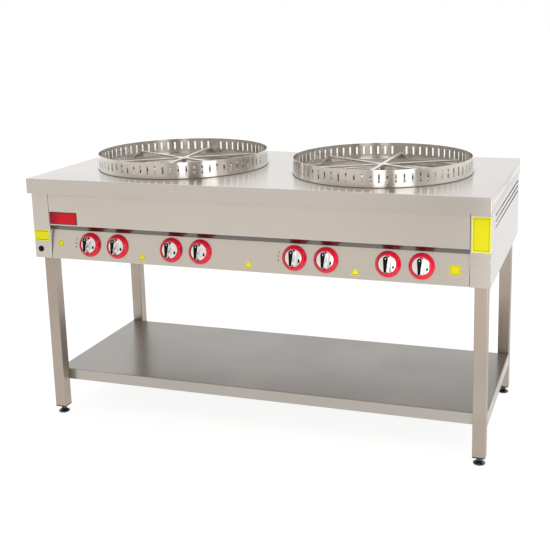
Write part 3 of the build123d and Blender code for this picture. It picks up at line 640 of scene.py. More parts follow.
# Near-black colour painted where the port holes' inner shade is.
PORT_HOLE_SHADE = CastMetal("burner port hole shade", (0.008, 0.008, 0.008), bare=(0.02, 0.02, 0.02), metallic=0.2)
VALVE_BRASS = CastMetal(
    "valve brass", (0.5, 0.34, 0.12), bare=(0.75, 0.58, 0.28), metallic=1.0, roughness=0.3,
    grain_size=0.8 * MM,
)
PIPE_ZINC = CastMetal(
    "zinc pipe", (0.38, 0.39, 0.4), bare=(0.55, 0.55, 0.55), metallic=1.0, roughness=0.42,
    grain_size=6.0 * MM,
)
TUBE_ALUMINIUM = CastMetal(
    "aluminium tube", (0.6, 0.6, 0.61), bare=(0.75, 0.75, 0.75), metallic=1.0, roughness=0.3,
    grain_size=3.0 * MM,
)
# Dark colour of the bead that paints the shadow at each guard's foot.
FOOT_SHADOW_BEAD = Plastic("guard foot shadow bead", (0.12, 0.107, 0.098), roughness=0.6)
BEZEL_RED = Plastic("bezel red", (0.68, 0.002, 0.03), roughness=0.24, shine=0.3, coat=0.25)
INLAY_BLACK = Plastic("inlay black", (0.003, 0.0028, 0.0032), roughness=0.32, shine=0.12)
# Dark colour of painted shadow in the joints between sheets.
JOINT_SHADOW_GREY = Plastic("joint shadow", (0.05, 0.045, 0.04), roughness=0.7, shine=0.2)
DOT_WHITE = Plastic("dot white", (0.85, 0.85, 0.84), roughness=0.35)
PLUG_BLACK = Plastic("plug black", (0.014, 0.014, 0.015), roughness=0.45, grain_depth=0.03 * MM)
FOOT_BLACK = Plastic("foot black", (0.01, 0.01, 0.011), roughness=0.2, coat=0.5)
IGNITER_BLACK = Plastic("igniter black", (0.004, 0.004, 0.004), 0.3, shine=0.15, coat=0.12)
MARK_BROWN = PrintedVinyl("dial mark ink", paint(118, 92, 84), paint(126, 98, 90))
STICKER_YELLOW = PrintedVinyl("sticker yellow")
# A darker copy of the sticker yellow: painted shade for the stickers on the right.
RIGHT_SIDE_SHADED_YELLOW = PrintedVinyl("yellow in painted shade", paint(198, 194, 5), paint(206, 201, 12), shine=0.15)
LABEL_PALE = PrintedVinyl("label rim", paint(214, 212, 118), paint(220, 217, 132))
STICKER_INK = PrintedVinyl("sticker ink", paint(45, 43, 35), paint(60, 56, 45))
# The run from the darker red at the badge's left end to the bright red is painted shade of the domed face's end.
BADGE_RED = PrintedVinyl(
    "badge red", paint(140, 4, 24), paint(204, 8, 34), start=-0.7, end=-0.655, roughness=0.3,
    shine=0.15, coat=0.08,
)
BADGE_EDGE = PrintedVinyl("badge edge", paint(60, 18, 24), paint(90, 30, 34), roughness=0.25)

SLOT_FINISHES: dict[str, Finish] = {
    "top_steel": TOP_STEEL,
    "body_steel": BODY_STEEL,
    "leg_steel": LEG_STEEL,
    "shelf_steel": SHELF_STEEL,
    "guard_steel": GUARD_STEEL,
    "pan_steel": PAN_STEEL,
    "carrier_steel": CARRIER_STEEL,
    "burner_iron": BURNER_STEEL,
    "frame_steel": FRAME_STEEL,
    "screw_steel": SCREW_STEEL,
    "knob_chrome": KNOB_CHROME,
    "red_plastic": BEZEL_RED,
    "valve_brass": VALVE_BRASS,
    "gas_pipe_steel": PIPE_ZINC,
    "tube_aluminium": TUBE_ALUMINIUM,
    "black_plastic": PLUG_BLACK,
    "foot_black": FOOT_BLACK,
    "igniter_black": IGNITER_BLACK,
}
NODE_FINISHES: dict[str, Finish] = {
    "side_panel_left": SIDE_STEEL,
    "side_panel_right": SIDE_STEEL,
    "control_panel": TAP_PANEL_STEEL,
}


@dataclass
class Surface:
    """Points and faces worked out with numpy, before they become a mesh."""

    points: np.ndarray
    faces: list[np.ndarray]

    def __add__(self, other: "Surface") -> "Surface":
        """Both surfaces as one, with the second one's faces renumbered.

        Args:
            other: the second surface.

        Returns:
            The joined surface.
        """
        shift = len(self.points)
        moved = [block + shift for block in other.faces]
        return Surface(np.vstack([self.points, other.points]), self.faces + moved)

    def turned(self, angle: float) -> "Surface":
        """The surface turned about Z.

        Args:
            angle: the turn in radians.

        Returns:
            The turned surface.
        """
        c, s = math.cos(angle), math.sin(angle)
        turn = np.array([[c, s, 0], [-s, c, 0], [0, 0, 1]])
        return Surface(self.points @ turn, self.faces)

    def moved(self, x: float, y: float, z: float = 0.0) -> "Surface":
        """The surface shifted."""
        return Surface(self.points + np.array([x, y, z]), self.faces)


@dataclass
class Seat:
    """A place on the stove with its own axes: right, up and out of the face."""

    origin: np.ndarray
    out: np.ndarray

    @property
    def right(self) -> np.ndarray:
        """The stove's X axis, which every front face shares."""
        return np.array([1.0, 0.0, 0.0])

    @property
    def up(self) -> np.ndarray:
        """The way up the face, square to the other two axes."""
        return np.cross(self.out, self.right)

    def hold(self, surface: Surface) -> Surface:
        """The surface with its X, Y and Z laid along right, up and out."""
        axes = np.stack([self.right, self.up, self.out])
        return Surface(self.origin + surface.points @ axes, surface.faces)


def grid_quads(rows: int, columns: int, close_rows: bool, close_columns: bool) -> np.ndarray:
    """Four-sided faces of a grid of points numbered row by row.

    Args:
        rows: how many rows of points.
        columns: how many points in a row.
        close_rows: whether the last row joins the first.
        close_columns: whether each row's last point joins its first.

    Returns:
        One row of four point numbers for each face.
    """
    row = np.arange(rows if close_rows else rows - 1)[:, None]
    column = np.arange(columns if close_columns else columns - 1)[None, :]
    next_row, next_column = (row + 1) % rows, (column + 1) % columns
    corners = [row * columns + column, row * columns + next_column]
    corners += [next_row * columns + next_column, next_row * columns + column]
    return np.stack(corners, axis=-1).reshape(-1, 4)


def lathe(profile: np.ndarray, steps: int = 96) -> Surface:
    """Surface of revolution: each (radius, height) of the closed profile goes once round Z.

    Args:
        profile: closed outline as (radius, height) rows.
        steps: how many facets go round.

    Returns:
        The closed surface.
    """
    angle = np.linspace(0, FULL_TURN, steps, endpoint=False)[:, None]
    radius, height = profile[:, 0][None, :], profile[:, 1][None, :]
    around = [radius * np.cos(angle), radius * np.sin(angle), height + 0 * angle]
    points = np.stack(around, axis=-1).reshape(-1, 3)
    return Surface(points, [grid_quads(steps, len(profile), True, True)])


def stacked(outlines: list[np.ndarray], heights: list[float] | np.ndarray) -> Surface:
    """Skin through outlines of equal count at rising heights, closed flat at both ends.

    Args:
        outlines: (x, y) rows for each level.
        heights: the height of each level, or of each point of each level.

    Returns:
        The closed surface.
    """
    count = len(outlines[0])
    levels = [np.column_stack([o, np.full(count, h)]) for o, h in zip(outlines, heights)]
    last = (len(levels) - 1) * count
    caps = [np.arange(count)[None, ::-1], np.arange(last, last + count)[None, :]]
    return Surface(np.vstack(levels), [grid_quads(len(levels), count, False, True), *caps])


def ring_plate(outer: np.ndarray, inner: np.ndarray, low: float, high: float) -> Surface:
    """Flat frame between two outlines of equal count, closed on all its sides.

    Args:
        outer: (x, y) rows of the outer outline.
        inner: the same of the inner one.
        low: height of the lower face.
        high: height of the upper face.

    Returns:
        The closed surface.
    """
    loops = [(outer, low), (outer, high), (inner, high), (inner, low)]
    points = np.vstack([np.column_stack([o, np.full(len(o), z)]) for o, z in loops])
    return Surface(points, [grid_quads(4, len(outer), True, True)])


def soft_corners(corners: np.ndarray, reach: float, steps: int = 6) -> np.ndarray:
    """Outline whose corners are rounded.

    Each corner becomes the curve (1-t)^2 A + 2t(1-t) P + t^2 B, where P is the corner and A and B
    lie on its two sides at the given reach.

    Args:
        corners: (x, y) rows in order.
        reach: how far from the corner the rounding starts.
        steps: how many points each corner gets.

    Returns:
        The rounded outline.
    """
    def towards(other: np.ndarray) -> np.ndarray:
        """Point on the side to the other corner, at the reach."""
        side = other - corners
        return corners + side / np.linalg.norm(side, axis=1, keepdims=True) * reach

    before, after = towards(np.roll(corners, 1, axis=0)), towards(np.roll(corners, -1, axis=0))
    t = np.linspace(0, 1, steps)[None, :, None]
    curve = (1 - t) ** 2 * before[:, None] + 2 * t * (1 - t) * corners[:, None]
    return (curve + t**2 * after[:, None]).reshape(-1, 2)


def circle(radius: float, steps: int) -> np.ndarray:
    """Points of a circle round the origin."""
    turn = np.linspace(0, FULL_TURN, steps, endpoint=False)
    return np.column_stack([np.cos(turn), np.sin(turn)]) * radius


def rectangle(low: Span, high: Span, inset: float = 0.0) -> np.ndarray:
    """Corners of a rectangle, drawn in by an inset."""
    x0, y0, x1, y1 = low[0] + inset, low[1] + inset, high[0] - inset, high[1] - inset
    return np.array([(x0, y0), (x1, y0), (x1, y1), (x0, y1)])


def slab(box: Box, levels: Levels, corner: float = 0.0) -> Surface:
    """Rectangular plate whose sides step or slope.

    Args:
        box: its low and high corner.
        levels: an inset and a height for each level.
        corner: how far its corners are rounded, if they are.

    Returns:
        The closed surface.
    """
    outlines = [rectangle(*box, inset) for inset, _ in levels]
    if corner:
        outlines = [soft_corners(outline, corner) for outline in outlines]
    return stacked(outlines, [height for _, height in levels])


def drop_outline(
    top: float, top_r: float, bottom: float, bottom_r: float, steps: int = 20
) -> np.ndarray:
    """Outline round two circles on the Y axis, with straight flanks that touch both.

    The flanks leave each circle at the angle whose sine is the difference of the radii over the
    distance of the centres.

    Args:
        top: height of the upper circle's centre.
        top_r: its radius.
        bottom: height of the lower circle's centre.
        bottom_r: its radius.
        steps: how many points each circle's arc gets.

    Returns:
        (x, y) rows.
    """
    lean = math.asin((top_r - bottom_r) / (top - bottom))
    over = np.linspace(-lean, math.pi + lean, steps)
    under = np.linspace(math.pi + lean, FULL_TURN - lean, steps)
    arcs = [(over, top, top_r), (under, bottom, bottom_r)]
    return np.vstack([np.column_stack([r * np.cos(a), y + r * np.sin(a)]) for a, y, r in arcs])


def placed(name: str, data: bpy.types.ID) -> bpy.types.Object:
    """New object for a mesh, light or camera, in the scene.

    Args:
        name: the object's name.
        data: its mesh, light or camera.

    Returns:
        The object.
    """
    thing = bpy.data.objects.new(name, data)
    bpy.context.scene.collection.objects.link(thing)
    return thing


def dressed(
    name: str, surface: Surface, finish: Finish, body: str = "stove",
    replaces: tuple[str, ...] = (), merge: float = 0.001 * MM,
) -> bpy.types.Object:
    """Make one piece from a surface and tie it to the frame.

    Args:
        name: the piece's name.
        surface: its points and faces, in the stove's own place.
        finish: what it is made of.
        body: the CAD body it rides on.
        replaces: the CAD nodes it stands for.
        merge: points nearer than this become one.

    Returns:
        The new object.
    """
    mesh = bpy.data.meshes.new(name)
    faces = [face for block in surface.faces for face in block.tolist()]
    mesh.from_pydata(surface.points.tolist(), [], faces)
    work = bmesh.new()
    work.from_mesh(mesh)
    bmesh.ops.remove_doubles(work, verts=work.verts, dist=merge)
    bmesh.ops.dissolve_degenerate(work, edges=work.edges, dist=merge)
    bmesh.ops.recalc_face_normals(work, faces=work.faces)
    work.to_mesh(mesh)
    work.free()
    mesh.polygons.foreach_set("use_smooth", np.ones(len(mesh.polygons), dtype=bool))
    mesh.set_sharp_from_angle(angle=CREASE)
    mesh.materials.append(finish.material())
    piece = placed(name, mesh)
    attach(piece, body)
    if replaces:
        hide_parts(*replaces)
    log.info("%s: %d faces on %s", name, len(mesh.polygons), body)
    return piece


def tap_seats() -> dict[int, Seat]:
    """The seat of each tap on the sloping panel, from the joints that turn the spindles.

    Returns:
        The seats by the taps' numbers.
    """
    seats = {}
    for joint in frame["joints"]:
        if joint["name"].startswith("tap_turn_"):
            number = int(joint["name"].rsplit("_", 1)[1])
            seats[number] = Seat(np.array(joint["pos_m"]), np.array(joint["axis"]))
    return seats


def front_seat() -> Seat:
    """The upright front sheet, with its up axis measured from the floor."""
    low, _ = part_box("fascia")
    return Seat(np.array([0.0, low[1], 0.0]), np.array([0.0, -1.0, 0.0]))


def panel_seat(tap: Seat) -> Seat:
    """The sloping panel, level with the taps at the stove's middle."""
    return Seat(np.array([0.0, tap.origin[1], tap.origin[2]]), tap.out)


def station_centre(side: str) -> Span:
    """Middle of a tray station, from its wind guard's box."""
    low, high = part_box(f"wind_guard_{side}")
    return (low[0] + high[0]) / 2, (low[1] + high[1]) / 2


@dataclass
class CarriedNodes:
    """The CAD nodes that stay in view, each given its slot's finish."""

    def dress(self) -> None:
        """Put the finishes on every CAD node."""
        slots = {part["node"]: part["material_slot"] for part in frame["record"]["subparts"]}
        for name, node in frame["nodes"].items():
            finish = NODE_FINISHES.get(name, SLOT_FINISHES[slots[name]])
            for place in node.material_slots:
                place.material = finish.material()
            log.info("%s: %s", name, finish.name)


@dataclass
class WindGuard:
    """Rolled band of a station, its slots cut through and its rims rounded."""

    side: str
    wall: float = 1.5 * MM
    slot_width: float = 6 * MM
    slot_foot: float = 15 * MM
    slot_height: float = 28.5 * MM
    pitches: int = 72
    seam_angle: float = math.radians(91.8)
    land_facets: int = 5
    rim: float = 0.35 * MM
    seam_width: float = 3 * MM
    seam_proud: float = 0.25 * MM
    seam_sunk: float = 0.1 * MM
    seam_joins: Span = (0.3, 0.65)
    # The dark bead of painted shadow round the band's foot.
    bead_width: float = 2 * MM
    bead_height: float = 2.4 * MM
    bead_sunk: float = 0.3 * MM
    bead_facets: int = 180

    def columns(self, radius: float) -> np.ndarray:
        """Angles of the band's upright lines, where each pitch's first facet is its slot.

        Args:
            radius: the band's outer radius.

        Returns:
            The angles in order.
        """
        half = math.asin(self.slot_width / 2 / radius)
        pitch = FULL_TURN / self.pitches
        land = np.linspace(half, pitch - half, self.land_facets + 1)[:-1]
        within = np.concatenate([[-half], land])
        start = self.seam_angle + pitch * np.arange(self.pitches)
        return (start[:, None] + within[None, :]).ravel()

    def band(self, radius: float, height: float) -> Surface:
        """Outer and inner skin as grids of angle and height, less the slots, plus the slots' walls.

        Args:
            radius: outer radius.
            height: the band's height.

        Returns:
            The closed surface about the station's axis, with its foot at 0.
        """
        angle = self.columns(radius)
        count = len(angle)
        slot_top = self.slot_foot + self.slot_height
        level = np.array([0, self.rim, self.slot_foot, slot_top, height - self.rim, height])
        draw_in = np.array([self.rim, 0, 0, 0, 0, self.rim])
        skins = np.stack([radius - draw_in, radius - self.wall + draw_in])[..., None]
        x, y = skins * np.cos(angle), skins * np.sin(angle)
        points = np.stack([x, y, level[:, None] + 0 * x], axis=-1).reshape(-1, 3)
        quads = grid_quads(len(level), count, False, True)
        slot = np.arange(1, self.pitches) * (self.land_facets + 1)
        low = list(level).index(self.slot_foot) * count + slot
        high = low + count
        keep = np.ones(len(quads), dtype=bool)
        keep[low] = False
        ring = np.arange(count)
        turn = (ring + 1) % count
        last, inside = (len(level) - 1) * count, len(level) * count
        slot_edges = [(low, high), (low + 1, high + 1), (low, low + 1), (high, high + 1)]
        rim_edges = [(ring, turn), (ring + last, turn + last)]
        blocks = [quads[keep], quads[keep] + inside]
        for start, end in slot_edges + rim_edges:
            blocks.append(np.stack([start, end, end + inside, start + inside], axis=-1))
        return Surface(points, blocks)

    def seam(self, radius: float, height: float) -> Surface:
        """Ground weld down the seam: a low arch swept up the band.

        Args:
            radius: the band's outer radius.
            height: the band's height.

        Returns:
            The closed surface about the station's axis.
        """
        across = np.linspace(-1, 1, 9)
        spread = across * self.seam_width / 2 / radius
        proud = radius - self.seam_sunk + (self.seam_sunk + self.seam_proud) * (1 - across**2)
        front = np.column_stack([proud * np.cos(spread), proud * np.sin(spread)])
        outline = np.vstack([front, [(radius - 2 * self.seam_sunk, 0.0)]])
        heights = [self.rim, *(height * share for share in self.seam_joins), height - self.rim]
        return stacked([outline] * len(heights), heights).turned(self.seam_angle)

    def shadow_bead(self, radius: float) -> Surface:
        """Dark bead round the band's foot, a painted shadow where the band meets the top; its face a quarter of an
        ellipse.

        Args:
            radius: the band's outer radius.

        Returns:
            The closed surface about the station's axis.
        """
        turn = np.linspace(0, math.pi / 2, 7)
        out = radius + self.bead_width * np.cos(turn)
        up = self.bead_height * np.sin(turn)
        back = radius - self.bead_sunk
        inner = np.array([(back, self.bead_height), (back, 0.0)])
        return lathe(np.vstack([np.column_stack([out, up]), inner]), self.bead_facets)

    def build(self) -> None:
        """Make the band, its seam and the dark bead of painted shadow round its foot."""
        node = f"wind_guard_{self.side}"
        low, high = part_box(node)
        x, y = station_centre(self.side)
        radius, height = (high[0] - low[0]) / 2, high[2] - low[2]
        band = self.band(radius, height).moved(x, y, low[2])
        dressed(f"slotted_band_{self.side}", band, GUARD_STEEL, replaces=(node,))
        seam = self.seam(radius, height).moved(x, y, low[2])
        dressed(f"band_seam_{self.side}", seam, GUARD_STEEL)
        shadow_bead = self.shadow_bead(radius).moved(x, y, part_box("top_sheet")[1][2])
        dressed(f"foot_shadow_bead_{self.side}", shadow_bead, FOOT_SHADOW_BEAD)


@dataclass
class RingPorts:
    """Flame ports of one ring burner, drilled in its two sloped shoulders."""

    side: str
    number: int
    ring_width: float = 20 * MM
    shoulder: float = 6 * MM
    pitch: float = 11 * MM
    port_r: float = 1.3 * MM
    proud: float = 0.06 * MM
    sunk: float = 0.2 * MM
    sides: int = 6

    def row(self, radius: float, height: float, lean: float) -> Surface:
        """Black six-sided discs, painted shade for the port holes, set round a circle and leant out or in by 45
        degrees, as one array.

        Args:
            radius: circle through the ports' middles.
            height: its height.
            lean: +1 where the shoulder looks outwards and -1 where it looks inwards.

        Returns:
            The ports about the station's axis.
        """
        count = int(FULL_TURN * radius / self.pitch)
        side, slope = circle(self.port_r, self.sides).T
        levels = np.array([-self.sunk, self.proud])[:, None]
        diagonal = math.sqrt(0.5)
        out = radius + lean * (diagonal * levels + diagonal * slope[None, :])
        up = height + diagonal * levels - diagonal * slope[None, :]
        across = np.broadcast_to(side[None, :], out.shape)
        local = np.stack([out, across, up], axis=-1).reshape(-1, 3)
        angle = (np.arange(count) + 0.5) * FULL_TURN / count
        c, s = np.cos(angle)[:, None], np.sin(angle)[:, None]
        x = local[None, :, 0] * c - local[None, :, 1] * s
        y = local[None, :, 0] * s + local[None, :, 1] * c
        z = np.broadcast_to(local[None, :, 2], x.shape)
        points = np.stack([x, y, z], axis=-1).reshape(-1, 3)
        foot = np.arange(self.sides)
        blocks = (grid_quads(2, self.sides, False, True), foot[None] + self.sides, foot[None, ::-1])
        shift = (np.arange(count) * 2 * self.sides)[:, None, None]
        faces = [(block[None] + shift).reshape(-1, block.shape[1]) for block in blocks]
        return Surface(points, faces)

    def build(self) -> None:
        """Make both rows of ports."""
        _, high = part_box(f"ring_burner_{self.side}_{self.number}")
        x, y = station_centre(self.side)
        outer = high[1] - y
        inner = outer - self.ring_width
        height = high[2] - self.shoulder / 2
        ports = self.row(outer - self.shoulder / 2, height, 1.0)
        ports = ports + self.row(inner + self.shoulder / 2, height, -1.0)
        name = f"flame_ports_{self.side}_{self.number}"
        dressed(name, ports.moved(x, y), PORT_HOLE_SHADE)


@dataclass
class TapKnob:
    """One knob on its seat: crowned disc, tapered grip, black inlay and white dot."""

    number: int
    seat: Seat
    disc_r: float = 27.5 * MM
    disc_back: float = 5 * MM
    disc_edge: float = 13.5 * MM
    disc_crown: float = 17 * MM
    crown_power: float = 2.2
    edge_round: float = 0.7 * MM
    grip_front: float = 38 * MM
    grip_foot: float = 12.5 * MM
    grip_flare: float = 1.5 * MM
    grip_top: float = 17 * MM
    grip_top_r: float = 8.5 * MM
    grip_bottom: float = -20.5 * MM
    grip_bottom_r: float = 5 * MM
    rim_width: float = 0.15 * MM
    inlay_depth: float = 0.8 * MM
    inlay_gap: float = 0.12 * MM
    inlay_insets_mm: tuple[float, ...] = (0, 0, 0.08, 0.33, 2.1)
    inlay_rises_mm: tuple[float, ...] = (0, 0.6, 0.71, 0.77, 0.72)
    dot_r: float = 2.1 * MM
    dot_sunk: float = 0.3 * MM
    dot_shares: tuple[float, ...] = (0, 0.35, 0.65, 0.88, 1, 1, 0)
    dot_rises_mm: tuple[float, ...] = (0.3, 0.29, 0.26, 0.2, 0.12, 0, 0)
    mark_place: Span = (19 * MM, -7 * MM)
    mark_ends: tuple[float, ...] = (2.4 * MM, 2.5 * MM, -2.6 * MM, 3.4 * MM)
    mark_shares: tuple[float, ...] = (1, 1, 0.6, 0.2)
    mark_rises_mm: tuple[float, ...] = (-0.2, 0.08, 0.08, 0.08)

    def outline(self, border: float) -> np.ndarray:
        """The grip's outline, grown or shrunk by a border."""
        top_r, bottom_r = self.grip_top_r + border, self.grip_bottom_r + border
        return drop_outline(self.grip_top, top_r, self.grip_bottom, bottom_r)

    def crown(self, radius: np.ndarray) -> np.ndarray:
        """Height of the disc's face: the crown less the drop times (r/R) to the crown's power."""
        drop = self.disc_crown - self.disc_edge
        return self.disc_crown - drop * (radius / self.disc_r) ** self.crown_power

    def disc(self) -> Surface:
        """Crowned disc whose edge is a quarter round.

        Returns:
            The closed surface about the tap's axis, with the panel at 0.
        """
        rim = self.disc_r - self.edge_round
        radius = np.linspace(0, rim, 14)
        crown = self.crown(radius)
        turn = np.linspace(0, math.pi / 2, 5)[1:]
        edge_r = rim + self.edge_round * np.sin(turn)
        edge_z = crown[-1] - self.edge_round * (1 - np.cos(turn))
        back = [(self.disc_r, self.disc_back + self.edge_round), (rim, self.disc_back)]
        back.append((0.0, self.disc_back))
        face, edge = np.column_stack([radius, crown]), np.column_stack([edge_r, edge_z])
        return lathe(np.vstack([face, edge, back]))

    def grip(self) -> Surface:
        """Skin from the flared foot to the rounded rim, then down into the inlay's pocket.

        Returns:
            The closed surface about the tap's axis, with the panel at 0.
        """
        rise = np.linspace(0, 1, 9)
        turn = np.linspace(0, math.pi / 2, 5)[1:]
        top = self.grip_front - self.edge_round
        flare = self.grip_flare * (1 - rise) ** 2
        rounding = -self.edge_round * (1 - np.cos(turn))
        borders = [*flare, *rounding, *[-self.edge_round - self.rim_width] * 2]
        heights = [*(self.grip_foot + rise * (top - self.grip_foot))]
        heights += [*(top + self.edge_round * np.sin(turn))]
        heights += [self.grip_front, self.grip_front - self.inlay_depth]
        return stacked([self.outline(border) for border in borders], heights)

    def inlay(self) -> Surface:
        """Black plate in the pocket, its edge rounded and its middle a little lower.

        Returns:
            The closed surface about the tap's axis, with the panel at 0.
        """
        start = -self.edge_round - self.rim_width - self.inlay_gap
        outlines = [self.outline(start - inset * MM) for inset in self.inlay_insets_mm]
        pocket = self.grip_front - self.inlay_depth
        return stacked(outlines, pocket + np.array(self.inlay_rises_mm) * MM)

    def mark(self) -> Surface:
        """Small drop printed on the disc: rings of its outline, each point laid on the crown.

        Returns:
            The closed surface about the tap's axis, with the panel at 0.
        """
        outline = drop_outline(*self.mark_ends, steps=10)
        flat = outline * np.array(self.mark_shares)[:, None, None] + np.array(self.mark_place)
        rises = np.array(self.mark_rises_mm)[:, None] * MM
        return stacked(list(flat), self.crown(np.linalg.norm(flat, axis=2)) + rises)

    def dot(self) -> Surface:
        """White pointer dot, a low dome at the round end of the inlay.

        Returns:
            The closed surface about the tap's axis, with the panel at 0.
        """
        radius = np.array(self.dot_shares) * self.dot_r
        height = self.grip_front - self.dot_sunk + np.array(self.dot_rises_mm) * MM
        return lathe(np.column_stack([radius, height]), 32).moved(0, self.grip_top)

    def build(self) -> None:
        """Make the knob's pieces on its own body."""
        body = f"knob_{self.number}"
        for kind, surface, finish, slot in (
            ("disc", self.disc(), KNOB_CHROME, "knob_chrome"),
            ("grip", self.grip(), GRIP_CHROME, "knob_chrome"),
            ("inlay", self.inlay(), INLAY_BLACK, "black_plastic"),
            ("dot", self.dot(), DOT_WHITE, "black_plastic"),
            ("mark", self.mark(), INLAY_BLACK, "black_plastic"),
        ):
            replaced = (body,) if kind == "disc" else ()
            name = f"knob_{kind}_{self.number}"
            dressed(name, self.seat.hold(surface), finish, body, replaced)


@dataclass
class Bezels:
    """The red cone-faced rings round the knobs."""

    seats: dict[int, Seat]
    radius: float = 40 * MM
    opening_r: float = 28.5 * MM
    edge: float = 2.5 * MM
    height: float = 16 * MM
    rim: float = 2.5 * MM
    groove: float = 0.6 * MM
    groove_start: float = 1.6 * MM
    groove_width: float = 1.1 * MM
    groove_floor: Span = (0.8 * MM, 0.3 * MM)
    corner: float = 0.12 * MM

    def profile(self) -> np.ndarray:
        """Outline from the panel up the cone to the rim and down inside, its corners rounded.

        Returns:
            The outline as (radius, height) rows.
        """
        crest = self.opening_r + self.rim
        slope = np.array([self.radius - crest, self.edge - self.height])
        along = slope / np.linalg.norm(slope)
        groove = np.array([crest, self.height]) + along * self.groove_start
        inward = np.array([along[1], -along[0]]) * self.groove
        corners = np.array([
            (self.opening_r, 0.0),
            (self.radius, 0.0),
            (self.radius, self.edge),
            groove + along * self.groove_width,
            *(groove + along * way + inward for way in self.groove_floor),
            groove,
            (crest, self.height),
            (self.opening_r, self.height),
        ])
        return soft_corners(corners, self.corner, 3)

    def build(self) -> None:
        """Make one ring for each tap."""
        ring = lathe(self.profile(), 128)
        for number, seat in self.seats.items():
            replaced = ("bezels",) if number == 1 else ()
            name = f"bezel_{number}"
            dressed(name, seat.hold(ring), BEZEL_RED, replaces=replaced)


